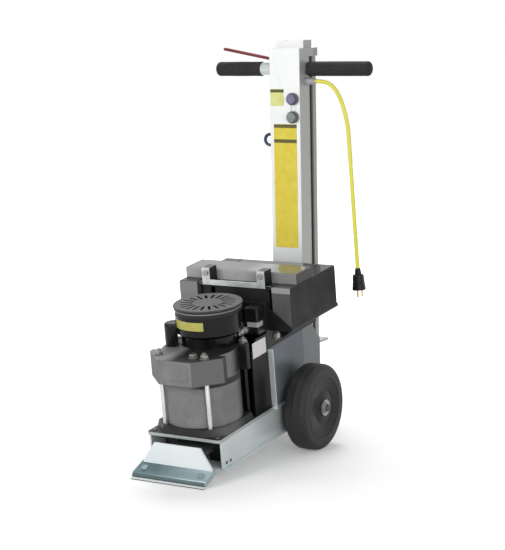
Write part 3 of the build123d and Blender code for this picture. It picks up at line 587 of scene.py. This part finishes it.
buttonCap = {"grain": 700.0, "cloud": 60.0, "rough": (0.25, 0.4), "gloss": 0.5, "bump": 0.08}
hardCase = {"grain": 900.0, "cloud": 60.0, "rough": (0.3, 0.45), "gloss": 0.4, "bump": 0.1}
mouldedSetup = {
    "tyreRubber": {
        "dark": (0.04, 0.04, 0.0395), "light": (0.069, 0.069, 0.068), "grain": 600.0,
        "cloud": 30.0, "rough": (0.55, 0.75), "gloss": 0.2, "bump": 0.2,
    },
    "rimPlastic": {
        "dark": (0.021, 0.021, 0.0205), "light": (0.037, 0.037, 0.036), "scuff": 0.45,
        "rings": ((0.079, 0.1075), 2600.0),
        "cloud": 30.0, "rough": (0.4, 0.6), "gloss": 0.13, "bump": 0.08,
    },
    "gripFoam": {
        "dark": (0.036, 0.036, 0.037), "light": (0.064, 0.064, 0.065), "grain": 700.0,
        "cloud": 120.0, "rough": (0.8, 0.95), "gloss": 0.15, "bump": 0.6,
    },
    "darkPlastic": {
        "dark": (0.012, 0.012, 0.014), "light": (0.03, 0.03, 0.033), "grain": 900.0,
        "cloud": 40.0, "rough": (0.3, 0.5), "gloss": 0.25, "bump": 0.12,
    },
    "bezelGrey": {**hardCase, "dark": (0.09, 0.09, 0.095), "light": (0.14, 0.14, 0.145)},
    "glandGrey": {
        **hardCase, "dark": (0.46, 0.46, 0.48), "light": (0.6, 0.6, 0.62), "rough": (0.35, 0.5),
    },
    "blackRubber": {
        "dark": (0.01, 0.01, 0.011), "light": (0.026, 0.026, 0.027), "grain": 800.0,
        "cloud": 60.0, "rough": (0.45, 0.65), "gloss": 0.25, "bump": 0.15,
    },
    "blackNylon": {
        "dark": (0.012, 0.012, 0.013), "light": (0.03, 0.03, 0.032), "grain": 500.0,
        "cloud": 20.0, "rough": (0.4, 0.55), "gloss": 0.2, "bump": 0.1,
    },
    "violetCap": {**buttonCap, "dark": (0.17, 0.16, 0.28), "light": (0.27, 0.26, 0.38)},
    "greyCap": {**buttonCap, "dark": (0.22, 0.25, 0.25), "light": (0.33, 0.36, 0.36)},
    "yellowSheath": {
        "dark": (0.93, 0.88, 0.09), "light": (0.97, 0.94, 0.15), "grain": 500.0,
        "cloud": 25.0, "rough": (0.35, 0.5), "gloss": 0.4, "bump": 0.1,
    },
    "motorFilm": {
        "dark": (0.54, 0.51, 0.11), "light": (0.73, 0.69, 0.23), "grain": 400.0,
        "cloud": 45.0, "rough": (0.3, 0.45), "gloss": 0.4, "bump": 0.05,
    },
}
for makeFinish, setups in (
    (platedFinish, platedSetup), (paintFinish, paintSetup),
    (castFinish, castSetup), (mouldedFinish, mouldedSetup),
):
    for name, setup in setups.items():
        makeFinish(name, setup)


# Ground plate: tone, roughness and bump all follow lines in one direction, with patches over them.
def groundFinish(name, setup):
    made = Finish(name, metallic=setup["metallic"])
    lines = made.lines(setup["lines"])
    made.set({
        "Base Color": made.patched(made.mix(made.spread(lines), setup["dark"], setup["light"]), setup),
        "Roughness": made.spread(lines, *setup["rough"]),
        "Normal": made.bump(lines, *setup["bump"]),
    })


# The carrier turns steadily paler to the right; the blade is bright at its edge, with a dark lip at the
# floor painted as shade.
groundFinish("carrierTeal", {
    "dark": (0.08, 0.148, 0.168), "light": (0.125, 0.205, 0.225), "metallic": 0.4,
    "lines": carrierLines, "rough": (0.3, 0.45), "bump": (0.08, 0.0006),
    "patches": [
        ({"streaked": over(0.0375, 0.0825)}, (0.46, 0.58, 0.6)),
        ({"y": under(-0.3576)}, (0.045, 0.072, 0.076)),
        ({"x": over(0.1008)}, (0.38, 0.48, 0.49)),
    ],
})
groundFinish("groundBlade", {
    "dark": (0.46, 0.49, 0.5), "light": (0.6, 0.63, 0.64), "metallic": 0.35,
    "lines": (420.0, 30.0, 30.0), "rough": (0.3, 0.42), "bump": (0.04, 0.0004),
    "patches": [
        ({"y": under(-0.356, 0.001)}, (0.78, 0.81, 0.82)),
        # Painted shade: a dark lip along the blade's foot.
        ({"z": under(0.0012)}, (0.05, 0.055, 0.055)),
    ],
})


# Blank plates: yellow film with plain dark bands, lime on the small one, and a pale film on the guard.
def plateFinish(name, setup):
    made = Finish(name, gloss=setup["gloss"])
    height = made.axis("Z")
    grain = made.span(made.noise(setup["cloud"], detail=4.0, rough=0.6), low=0.35, high=0.7)
    film = made.mix(grain, setup["dark"], setup["light"])
    film = made.mix(height > setup["small"], film, made.mix(grain, setup["lime"], setup["paleLime"]))
    stripes = sum(made.within(height, *between(*band)) for band in setup["bands"])
    film = made.mix(stripes, film, setup["band"])
    guard = made.axis("X") > setup["guard"]
    made.set({
        "Base Color": made.mix(guard, film, made.mix(grain, setup["pale"], setup["white"])),
        "Roughness": made.span(grain, 0.0, 1.0, *setup["rough"]),
        "Normal": made.bump(made.noise(setup["peel"], detail=2.0), setup["bump"], distance=0.0003),
    })


plateFinish("blankFilm", {
    "dark": (0.84, 0.68, 0.06), "light": (0.94, 0.78, 0.1), "band": (0.12, 0.11, 0.03),
    "bands": [(0.876, 0.884), (0.7865, 0.7955), (0.7485, 0.7575)],
    "small": 0.83, "lime": (0.82, 0.84, 0.28), "paleLime": (0.92, 0.94, 0.42),
    "guard": 0.09, "pale": (0.92, 0.89, 0.88), "white": (0.98, 0.95, 0.94),
    "cloud": 60.0, "peel": 300.0, "rough": (0.35, 0.5), "gloss": 0.3, "bump": 0.05,
})


slotFinish = {
    "zinc": "brightZinc", "black_paint": "satinBlack", "grey_casting": "greyCasting",
    "ballast_iron": "ballastIron", "slab_iron": "slabIron", "bright_steel": "plainSteel",
    "inner_steel": "machinedSteel", "tyre": "tyreRubber", "rim": "rimPlastic", "foam": "gripFoam",
    "nylon": "blackNylon", "post_steel": "postSteel", "red_lever": "redLever",
    "dark_plastic": "darkPlastic", "violet_button": "violetCap", "grey_button": "greyCap",
    "yellow_plate": "blankFilm", "blue_loop": "loopBlue", "yellow_cord": "yellowSheath",
    "black_rubber": "blackRubber", "brass": "brassPins", "bezel_grey": "bezelGrey",
}
ownFinish = {
    "side_plate_left": "dullZinc", "side_plate_right": "dullZinc", "motor_body": "motorBlack",
    "fan_cover": "capCasting", "capacitor_cover": "motorBlack", "control_box": "boxBlack",
    "deck_plate": "deckBlack", "head_neck": "neckZinc", "blade_carrier": "carrierTeal",
    "blade": "groundBlade", "blade_bolts": "carrierBolt", "axle_collars": "dullSteel",
    "axle": "darkSteel", "top_plate": "trayBlack", "top_band": "postSteel",
    "hold_down_straps": "clampZinc", "handlebar_tube": "postSteel", "cord_gland": "glandGrey",
    "post_core": "coreGrey", "post_bracket": "bracketGrey", "step_plate": "bracketGrey",
    "rear_bulkhead": "bracketGrey",
}


def wear(piece, finish):
    piece.data.materials.clear()
    piece.data.materials.append(finishes[finish])


for row in frame["record"]["subparts"]:
    wear(nodes[row["node"]], ownFinish.get(row["node"], slotFinish[row["material_slot"]]))
wear(powerCord, "yellowSheath")
print("finishes made:", len(finishes))

# Soft edges on the solids: joined triangles, then a narrow bevel where faces meet at a corner.
softSetup = {
    "weld": 0.00002,
    "corner": 35.0,
    "segments": 2,
    "widths": {
        "chassis_channel": 0.8, "deck_plate": 1.2, "side_plate_left": 0.8, "side_plate_right": 0.8,
        "ballast_bar_left": 0.8, "ballast_bar_right": 0.8, "ballast_slab": 0.8, "top_plate": 1.0,
        "ballast_frame": 0.7, "hold_down_straps": 0.6, "control_box": 1.5, "side_guards": 0.6,
        "post_front_channel": 1.0, "post_rear_channel": 1.0, "post_core": 0.8, "post_bracket": 0.8,
        "top_band": 0.5, "step_plate": 0.8, "blade_carrier": 0.6, "head_neck": 0.8, "gear_head": 1.6,
        "front_bulkhead": 0.6, "rear_bulkhead": 0.6, "lever_bracket": 0.5,
    },
}


def soften(setup):
    for name, width in setup["widths"].items():
        weld = nodes[name].modifiers.new("joinTriangles", "WELD")
        weld.merge_threshold = setup["weld"]
        bevel = nodes[name].modifiers.new("softEdge", "BEVEL")
        bevel.limit_method = "ANGLE"
        bevel.angle_limit = math.radians(setup["corner"])
        bevel.width = width / 1000
        bevel.segments = setup["segments"]


soften(softSetup)
print("edges softened:", len(softSetup["widths"]))


# Places on the sloping chassis, written in millimetres, become metres on the floor's axes.
def onChassis(*place):
    x, y, z = (np.asarray(value, float) for value in place)
    along = y * slopeCos - z * slopeSin + chassisBack
    height = z * slopeCos + y * slopeSin
    return np.stack(np.broadcast_arrays(x, along, height), -1) / 1000


chassisUp = onChassis(0, 0, 1000) - onChassis(0, 0, 0)
chassisFront = onChassis(0, -1000, 0) - onChassis(0, 0, 0)


# Two directions square to a given one, for rings set along it.
def squareTo(direction):
    ahead = np.asarray(direction, float)
    ahead = ahead / np.linalg.norm(ahead)
    steep = 0.8
    helper = np.array([0.0, 0.0, 1.0]) if abs(ahead[2]) < steep else np.array([1.0, 0.0, 0.0])
    right = np.cross(helper, ahead)
    right = right / np.linalg.norm(right)
    return ahead, right, np.cross(ahead, right)


# Rings along a line: a point lies at its height on the line and at its radius and angle about it.
def ringsAlong(base, direction, heights, radii, angles):
    ahead, right, upper = squareTo(direction)
    radii = np.broadcast_to(radii, (len(heights), len(angles)))[..., None]
    around = np.cos(angles)[:, None] * right + np.sin(angles)[:, None] * upper
    return np.asarray(base) + (np.asarray(heights)[:, None, None] * ahead + radii * around) / 1000


def wholeTurn(count):
    return np.linspace(0.0, 2 * math.pi, count, endpoint=False)


# A closed mesh from grids of rings: neighbours join into quads, and end rings are capped or looped.
def makePiece(name, grids, body, finish, looped=False, crease=38.0):
    points, faceRows, start = [], [], 0
    for grid in grids:
        rows, columns = grid.shape[:2]
        index = np.arange(rows * columns).reshape(rows, columns) + start
        if looped:
            index = np.vstack([index, index[:1]])
        turned = np.roll(index, -1, axis=1)
        quads = np.stack([index[:-1], turned[:-1], turned[1:], index[1:]], -1).reshape(-1, 4)
        faceRows += quads.tolist()
        if not looped:
            faceRows += [index[0, ::-1].tolist(), index[-1].tolist()]
        points.append(grid.reshape(-1, 3))
        start += rows * columns
    mesh = bpy.data.meshes.new(name)
    mesh.from_pydata(np.vstack(points).tolist(), [], faceRows)
    shell = bmesh.new()
    shell.from_mesh(mesh)
    bmesh.ops.recalc_face_normals(shell, faces=shell.faces)
    shell.to_mesh(mesh)
    shell.free()
    mesh.polygons.foreach_set("use_smooth", np.ones(len(mesh.polygons), bool))
    mesh.set_sharp_from_angle(angle=math.radians(crease))
    piece = bpy.data.objects.new(name, mesh)
    scene.collection.objects.link(piece)
    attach(piece, body)
    wear(piece, finish)
    return piece


# Hexagon with its corners turned off at both ends: the flats' distance over the cosine of the angle.
def hexHead(base, direction, radius, thick):
    angles = wholeTurn(48)
    flat = radius * math.cos(math.pi / 6)
    corners = flat / np.cos((angles + math.pi / 6) % (math.pi / 3) - math.pi / 6)
    heights = np.array([0.0, 0.06, 0.72, 0.9, 1.0]) * thick
    radii = [np.minimum(corners, flat * limit) for limit in (0.96, 2.0, 2.0, 1.09, 0.96)]
    return ringsAlong(base, direction, heights, np.array(radii), angles)


# Flat ring under a head, with a small round on its rim.
def washer(base, direction, radius, thick):
    heights = np.array([0.0, 0.75, 1.0]) * thick
    radii = np.array([[1.0], [1.0], [0.96]]) * radius
    return ringsAlong(base, direction, heights, radii, wholeTurn(40))


# A washer that stands out past the corners, and the hexagon on it, as thick as the setup says together.
def hexOnWasher(base, direction, setup):
    thick = setup["washer"]
    seat = base + np.asarray(direction) * thick / 1000
    return [
        washer(base, direction, setup["radius"] + setup["edge"], thick),
        hexHead(seat, direction, setup["radius"], setup["thick"] - thick),
    ]


# Round-topped head: the radius follows a quarter ellipse up to a flat crown.
def domeHead(base, direction, radius, thick):
    crown, skirt = 1.25, 0.35
    climb = np.linspace(0.0, crown, 7)
    heights = np.concatenate([[0.0], (skirt + (1 - skirt) * np.sin(climb)) * thick])
    radii = np.concatenate([[1.0], np.cos(climb)]) * radius
    return ringsAlong(base, direction, heights, radii[:, None], wholeTurn(32))


# Threaded end: the radius falls and rises once a pitch along a line that winds round the rod.
def threadedRod(base, direction, radius, plain, threaded, pitch):
    angles = wholeTurn(24)
    step, groove, tip = pitch / 6, 0.13, 0.8
    heights = np.concatenate([[0.0, plain], np.arange(plain + step, plain + threaded, step)])
    phase = (heights[:, None] / pitch - angles / (2 * math.pi)) % 1.0
    depth = groove * np.abs(2 * phase - 1) * (heights[:, None] > plain)
    taper = np.clip((plain + threaded - heights) / pitch, 0.0, 1.0)[:, None]
    return ringsAlong(base, direction, heights, radius * (tip + (1 - tip) * taper) * (1 - depth), angles)


# Rods that clamp the gear head: plain shank, washer, nut and threaded end, and a filler plug in front.
rodSetup = {
    "spots": [(-63.0, -127.8), (63.0, -127.8), (-82.0, 15.0), (82.0, 15.0)],
    "filler": (32.0, -127.8),
    "radius": 5.5,
    "foot": 133.0,
    "seat": 305.0,
    "stand": 14.0,
    "pitch": 1.75,
    "nut": {"radius": 10.5, "thick": 9.3, "washer": 1.8, "edge": 1.5},
}


def makeRods(setup):
    grids = []
    sizes = (setup["radius"], setup["seat"] - setup["foot"], setup["stand"], setup["pitch"])
    for x, y in setup["spots"]:
        grids.append(threadedRod(onChassis(x, y, setup["foot"]), chassisUp, *sizes))
    for x, y in setup["spots"] + [setup["filler"]]:
        grids += hexOnWasher(onChassis(x, y, setup["seat"]), chassisUp, setup["nut"])
    rods = makePiece("tieRods", grids, "frame", "rodSteel")
    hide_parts("tie_rods")


makeRods(rodSetup)

# Bolt heads of the tray and saddle on washers, rivets of the channel, studs of the deck, hold-down bolts.
boltSetup = {
    "tray": {
        "x": 96.0, "along": (150.0, 330.0), "height": 284.0,
        "radius": 9.0, "thick": 6.0, "washer": 1.4, "edge": 2.0,
    },
    "saddle": {
        "x": 49.4, "along": (243.0, 283.0), "height": 150.0,
        "radius": 8.0, "thick": 5.0, "washer": 1.2, "edge": 2.0,
    },
    "rivet": {"x": 100.0, "along": (-128.0, -110.0), "height": 53.5, "radius": 4.0, "thick": 2.0},
    "stud": {"x": 88.0, "along": -139.0, "height": 116.5, "radius": 6.0, "thick": 4.0},
    "hold": {"x": 78.0, "face": 125.0, "height": 437.5, "radius": 8.0, "thick": 4.5},
}


def makeBolts(setup):
    grids = []
    tray, saddle, rivet, stud, hold = (setup[key] for key in ("tray", "saddle", "rivet", "stud", "hold"))
    for hand in (-1, 1):
        side = (hand, 0.0, 0.0)
        for along in tray["along"]:
            grids += hexOnWasher(onChassis(hand * tray["x"], along, tray["height"]), side, tray)
        for along in saddle["along"]:
            base = np.array([hand * saddle["x"], along, saddle["height"]]) / 1000
            grids += hexOnWasher(base, side, saddle)
        for along in rivet["along"]:
            base = onChassis(hand * rivet["x"], along, rivet["height"])
            grids.append(domeHead(base, side, rivet["radius"], rivet["thick"]))
        base = onChassis(hand * stud["x"], stud["along"], stud["height"])
        grids.append(domeHead(base, chassisUp, stud["radius"], stud["thick"]))
    bolts = makePiece("frameBolts", grids, "frame", "frameSteel")
    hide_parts("frame_bolts")
    grids = []
    for x in (-hold["x"], hold["x"]):
        base = onChassis(x, hold["face"], hold["height"])
        grids.append(hexHead(base, chassisFront, hold["radius"], hold["thick"]))
    clamps = makePiece("holdDownBolts", grids, "frame", "dullSteel")
    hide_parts("hold_down_bolts")


makeBolts(boltSetup)
print("fasteners made")


# An arc in a profile: points at a radius about a centre between two angles in degrees.
def arc(centre, radius, start, end, count):
    angles = np.radians(np.linspace(start, end, count))
    return np.stack([centre[0] + radius * np.cos(angles), centre[1] + radius * np.sin(angles)], -1)


# A profile of distance and radius, turned about a line along X through the given point.
def turnedAlong(profile, hand, centre, count):
    profile = np.asarray(profile, float)
    angles = wholeTurn(count)
    ring = np.stack([np.zeros(count), np.cos(angles), np.sin(angles)], -1)
    grid = profile[:, 1, None, None] * ring + profile[:, 0, None, None] * np.array([hand, 0.0, 0.0])
    return (grid + np.asarray(centre)) / 1000


# Wheels: a solid tyre with rounded shoulders, bead rings and a parting line, on a dished rim.
wheelSetup = {
    "centre": (0.0, 79.0, 107.5),
    "radius": 107.5,
    "inner": 119.0,
    "outer": 179.0,
    "shoulder": 15.0,
    "bead": 0.8,
    "beadSteps": (0.1, 2.0, 3.0, 5.5, 6.5),
    "parting": (0.8, 0.5),
    "rim": 74.0,
    "rimSteps": (-14.0, -13.0, -11.2, -8.4, -7.0, -0.6),
    "hub": 24.0,
    "hubSteps": (-4.0, -2.6, 2.0, 4.0),
    "bore": 10.05,
    "boss": (1.5, 0.5),
    "web": 2.5,
    "webThick": 14.0,
    "groove": (40.0, 44.0, 0.6, 0.4),
    "lip": 1.0,
    "lipThick": 6.0,
    "easing": (0.3, 0.4, 0.3, 0.6),
}


# Tyre: half a section from the rim round the shoulder to the parting line, and the same mirrored.
def tyreProfile(setup):
    near, far, top, rim, turn = (setup[key] for key in ("inner", "outer", "radius", "rim", "shoulder"))
    wall, bead, middle = top - turn, far + setup["bead"], (near + far) / 2
    wide, tall = setup["parting"]
    seat, foot, swell, crest, neck = (rim + step for step in setup["beadSteps"])
    half = np.vstack([
        [(far, seat), (far, foot), (bead, swell), (bead, crest), (far, neck), (far, wall)],
        arc((far - turn, wall), turn, 4, 86, 12),
        [(far - turn, top), (middle + wide, top), (middle, top + tall)],
    ])
    mirrored = np.stack([near + far - half[::-1, 0], half[::-1, 1]], -1)[1:]
    return np.vstack([half, mirrored])


# Rim: out of the bore over the boss, down to the grooved web, up to the lip, and back behind it.
def rimProfile(setup):
    near, far, rim, hub, bore = (setup[key] for key in ("inner", "outer", "rim", "hub", "bore"))
    backEnd, frontEnd = near - setup["boss"][0], far + setup["boss"][1]
    web, lip = far - setup["web"], far - setup["lip"]
    webBack, lipBack = web - setup["webThick"], near + setup["lipThick"]
    first, last, slope, deep = setup["groove"]
    bossEdge, bossSide, fillet, webFoot = (hub + step for step in setup["hubSteps"])
    backTop, webTop, dish, brow, lipFoot, lipTop = (rim + step for step in setup["rimSteps"])
    filletOut, dishOut, browIn, lipIn = setup["easing"]
    return [
        (backEnd, bore), (frontEnd, bore), (frontEnd, bossEdge), (far, bossSide),
        (lip, hub), (web + filletOut, fillet), (web, webFoot),
        (web, first), (web - deep, first + slope), (web - deep, last - slope), (web, last),
        (web, webTop), (web + dishOut, dish), (lip - browIn, brow), (lip, lipFoot),
        (lip, lipTop), (lip - lipIn, rim),
        (lipBack, rim), (lipBack, lipFoot), (webBack, backTop), (webBack, webFoot), (backEnd, hub),
    ]


def makeWheel(setup, hand, name):
    body = "wheel_" + name
    tyreGrid = turnedAlong(tyreProfile(setup), hand, setup["centre"], 144)
    tyre = makePiece(name + "Tyre", [tyreGrid], body, "tyreRubber", looped=True)
    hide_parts("tyre_" + name)
    discGrid = turnedAlong(rimProfile(setup), hand, setup["centre"], 120)
    disc = makePiece(name + "Rim", [discGrid], body, "rimPlastic", looped=True)
    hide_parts("rim_" + name)


for hand, name in ((-1, "left"), (1, "right")):
    makeWheel(wheelSetup, hand, name)
print("wheels made")

# Foam grips over the ends of the bar: bored, with a small round inside and a large one at the end.
gripSetup = {
    "centre": (0.0, 264.0, 934.0),
    "radius": 18.5,
    "bore": 12.75,
    "end": 222.0,
    "lip": 2.5,
    "tip": 9.0,
    "wall": 8.0,
    "eye": 2.0,
    "straight": (6.0, 12.0),
    "waist": 0.2,
    "swell": 0.25,
    "ripple": (0.12, 0.9),
    "grips": [(-1, 88.0, "grip_left", "leftGrip"), (1, 47.0, "grip_right", "rightGrip")],
}


# Grip: the profile runs out of the bore, round the lip and along the foam, which swells a little mid-way.
def makeGrip(setup, hand, inner, node, name):
    radius, end, lip, tip = (setup[key] for key in ("radius", "end", "lip", "tip"))
    deep, beat = setup["ripple"]
    first, last = setup["straight"]
    run = np.linspace(inner + first, end - last, 16)
    swell = setup["swell"] * np.sin((run - inner) / (end - inner) * math.pi) + deep * np.sin(run * beat)
    profile = np.vstack([
        [(end - setup["wall"], setup["bore"]), (inner, setup["bore"])],
        arc((inner + lip, radius - lip), lip, 180, 90, 6),
        np.stack([run, radius - setup["waist"] + swell], -1),
        arc((end - tip, radius - tip), tip, 88, 4, 10),
        [(end, setup["eye"])],
    ])
    grip = makePiece(name, [turnedAlong(profile, hand, setup["centre"], 64)], "frame", "gripFoam")
    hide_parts(node)


for entry in gripSetup["grips"]:
    makeGrip(gripSetup, *entry)
print("grips made")

# Moulded plug on the cord and the gland that the cord leaves the post through.
plugSetup = {
    "start": (183.99, 256.0, 432.33),
    "hang": 86.3,
    "relief": {"radii": (7.0, 9.0), "length": 16.0, "ribs": 10, "deep": 0.09, "level": 0.2},
    "body": {"radii": (13.0, 16.4), "length": 40.0, "power": 3.2, "corner": 1.07},
    "groove": {"deep": 0.05, "middle": 20.0, "spread": 12.0, "beat": 1.6},
    "ends": ((0.14, 0.08), (0.1, 0.06)),
}
glandSetup = {
    "start": (43.4, 256.0, 903.0),
    "nut": 11.0,
    "nutThick": 8.0,
    "sleeve": {"radii": (9.5, 6.6), "length": 20.0, "ribs": 12, "deep": 0.1, "level": 0.3},
    "plain": 3.0,
}


# Ribbed sleeve: a cone whose radius steps in wherever a sine along it passes a level.
def ribbedRadii(setup, heights):
    part = heights / setup["length"]
    ribs = np.sin(part * setup["ribs"] * math.pi) > setup["level"]
    return np.interp(part, (0, 1), setup["radii"]), 1 - setup["deep"] * ribs


# Rounded end: drawn in by its inset at the rim and out to the full width over a short run.
def roundedEnd(away, inset, run):
    return 1 - inset + inset * np.sqrt(np.clip(away / run, 0, 1))


# Plug: ribbed relief, then a body whose section is a rounded square that widens, with finger grooves.
def makePlug(setup):
    relief, body, groove = (setup[key] for key in ("relief", "body", "groove"))
    angles = wholeTurn(56)
    power = body["power"]
    square = (np.abs(np.cos(angles)) ** power + np.abs(np.sin(angles)) ** power) ** (-1 / power)
    heights = np.linspace(0.0, relief["length"], 25)
    cone, ribs = ribbedRadii(relief, heights)
    climb = np.linspace(0.0, 1.0, 33)
    run = climb * body["length"]
    reach = np.exp(-((run - groove["middle"]) / groove["spread"]) ** 2)
    bite = reach * (1 + np.cos(run * groove["beat"])) / 2
    first, last = setup["ends"]
    shape = np.interp(climb, (0, 1), body["radii"]) * (1 - groove["deep"] * bite)
    shape = shape * roundedEnd(climb, *first) * roundedEnd(1 - climb, *last)
    radii = np.vstack([
        np.outer(cone * ribs, np.ones(len(angles))),
        np.outer(shape, np.minimum(square, body["corner"])),
    ])
    hang = math.radians(setup["hang"])
    ahead = (math.cos(hang), 0.0, -math.sin(hang))
    heights = np.concatenate([heights, relief["length"] + run])
    grids = [ringsAlong(np.array(setup["start"]) / 1000, ahead, heights, radii, angles)]
    plug = makePiece("plugBody", grids, "frame", "blackRubber")
    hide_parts("plug_body")
    return plug


# Gland: a hexagon on the post, then a tapering sleeve with grooves for the bend after a plain part.
def makeGland(setup):
    start = np.array(setup["start"]) / 1000
    ahead = np.array([1.0, 0.0, 0.0])
    heights = np.linspace(0.0, setup["sleeve"]["length"], 41)
    cone, ribs = ribbedRadii(setup["sleeve"], heights)
    radii = cone * np.where(heights > setup["plain"], ribs, 1.0)
    grids = [
        hexHead(start, ahead, setup["nut"], setup["nutThick"]),
        ringsAlong(start + ahead * setup["nutThick"] / 1000, ahead, heights, radii[:, None], wholeTurn(40)),
    ]
    gland = makePiece("cordGland", grids, "frame", "glandGrey")
    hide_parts("cord_gland")


plugPiece = makePlug(plugSetup)
makeGland(glandSetup)
print("plug and gland made")

# Blank yellow film bent round the front of the motor.
filmSetup = {
    "axis": 3.0,
    "radius": 81.0,
    "angles": (-41.0, 22.0),
    "heights": (352.0, 373.0),
    "thin": 0.05,
    "thick": 0.5,
    "round": 0.3,
}


# Film: a strip at two radii about the motor's axis, closed round its rim.
def makeFilm(setup):
    angles = np.radians(np.linspace(*setup["angles"], 33))
    thin, thick = setup["thin"], setup["thick"]
    low, high = setup["heights"]
    section = [(thin, low), (thick, low + setup["round"]), (thick, high - setup["round"]), (thin, high)]
    ring = []
    for stand, height in section:
        reach = setup["radius"] + stand
        ring.append(onChassis(reach * np.sin(angles), setup["axis"] - reach * np.cos(angles), height))
    makePiece("motorFilm", [np.stack(ring, 1)], "frame", "motorFilm")


makeFilm(filmSetup)

# Cast pad on the front of the gear head, bare.
padSetup = {
    "half": 36.0,
    "heights": (256.0, 294.0),
    "face": -165.0,
    "corner": 5.0,
    "sink": 0.4,
    "stand": 2.2,
    "draft": 1.6,
    "steps": [(0.7, 0.6), (1.0, 1.0)],
}


# Pad: a rounded rectangle whose rim draws in as it rises, in three steps.
def makePad(setup):
    low, high = setup["heights"]
    middle, tall = (low + high) / 2, (high - low) / 2
    corners = []
    for start, right, up in ((0, 1, 1), (90, -1, 1), (180, -1, -1), (270, 1, -1)):
        centre = (right * (setup["half"] - setup["corner"]), up * (tall - setup["corner"]))
        corners.append(arc(centre, setup["corner"], start, start + 90, 8))
    outline = np.vstack(corners)
    section = [(-setup["sink"], 0.0)]
    section += [(setup["stand"] * rise, setup["draft"] * inset) for rise, inset in setup["steps"]]
    rings = []
    for rise, inset in section:
        shape = outline * (1 - inset / np.array([setup["half"], tall]))
        rings.append(onChassis(shape[:, 0], setup["face"] - rise, middle + shape[:, 1]))
    makePiece("castPad", [np.stack(rings)], "frame", "greyCasting")


makePad(padSetup)
print("motor film and cast pad made")

# Stage: a pale floor that keeps the shadow, white beyond it, and soft lamps in front, right and above.
stageSetup = {
    "floor": 14.0,
    "floorHeight": -0.0006,
    "floorTone": (0.5, 0.5, 0.5),
    "seenTone": (0.95, 0.95, 0.95),
    "nearGlow": 0.215,
    "farGlow": 1.0,
    "reach": (0.9, 2.4),
    "fillLight": 0.34,
    "lampAim": (0.0, -0.05, 0.4),
    "lamps": [
        ("keyLamp", (-1.3, -3.6, 1.8), 1.8, 54.0),
        ("rightLamp", (2.6, -2.2, 1.2), 1.6, 34.0),
        ("topLamp", (-0.6, 1.3, 2.6), 1.4, 46.0),
    ],
}
black, white = (0.0, 0.0, 0.0), (1.0, 1.0, 1.0)


# Floor: grey to the lamps' light, near white to the eye, with a glow that grows with distance.
def layFloor(setup):
    half, height = setup["floor"] / 2, setup["floorHeight"]
    mesh = bpy.data.meshes.new("paleFloor")
    corners = [(x * half, y * half, height) for x, y in ((-1, -1), (1, -1), (1, 1), (-1, 1))]
    mesh.from_pydata(corners, [], [(0, 1, 2, 3)])
    floor = bpy.data.objects.new("paleFloor", mesh)
    scene.collection.objects.link(floor)
    made = Finish("paleFloor", gloss=0.0)
    seen = made.seen()
    away = made.add("ShaderNodeVectorMath", {"operation": "LENGTH"}, {0: made.where}, "Value")
    glow = made.span(away, *setup["reach"], setup["nearGlow"], setup["farGlow"]) * seen
    made.set({
        "Base Color": made.mix(seen, setup["floorTone"], setup["seenTone"]),
        "Roughness": 0.9,
        "Emission Color": made.mix(glow, black, white),
        "Emission Strength": 1.0,
    })
    wear(floor, "paleFloor")


# Sky: white where it is seen, and dimmer where it only lights the part.
def setSky(setup):
    world = bpy.data.worlds.new("studio")
    scene.world = world
    world.use_nodes = True
    sky = Wiring(world.node_tree)
    background = sky.tree.nodes["Background"]
    sky.feed(background.inputs["Color"], white)
    sky.feed(background.inputs["Strength"], sky.span(sky.seen(), 0.0, 1.0, setup["fillLight"], 1.0))


def hangLamps(setup):
    for name, spot, size, power in setup["lamps"]:
        data = bpy.data.lights.new(name, "AREA")
        data.size = size
        data.energy = power
        lamp = bpy.data.objects.new(name, data)
        scene.collection.objects.link(lamp)
        lamp.location = spot
        ahead = Vector(setup["lampAim"]) - Vector(spot)
        lamp.rotation_euler = ahead.to_track_quat("-Z", "Y").to_euler()


layFloor(stageSetup)
setSky(stageSetup)
hangLamps(stageSetup)
scene.view_settings.view_transform = "Standard"
print("stage set")

bpy.context.view_layer.update()
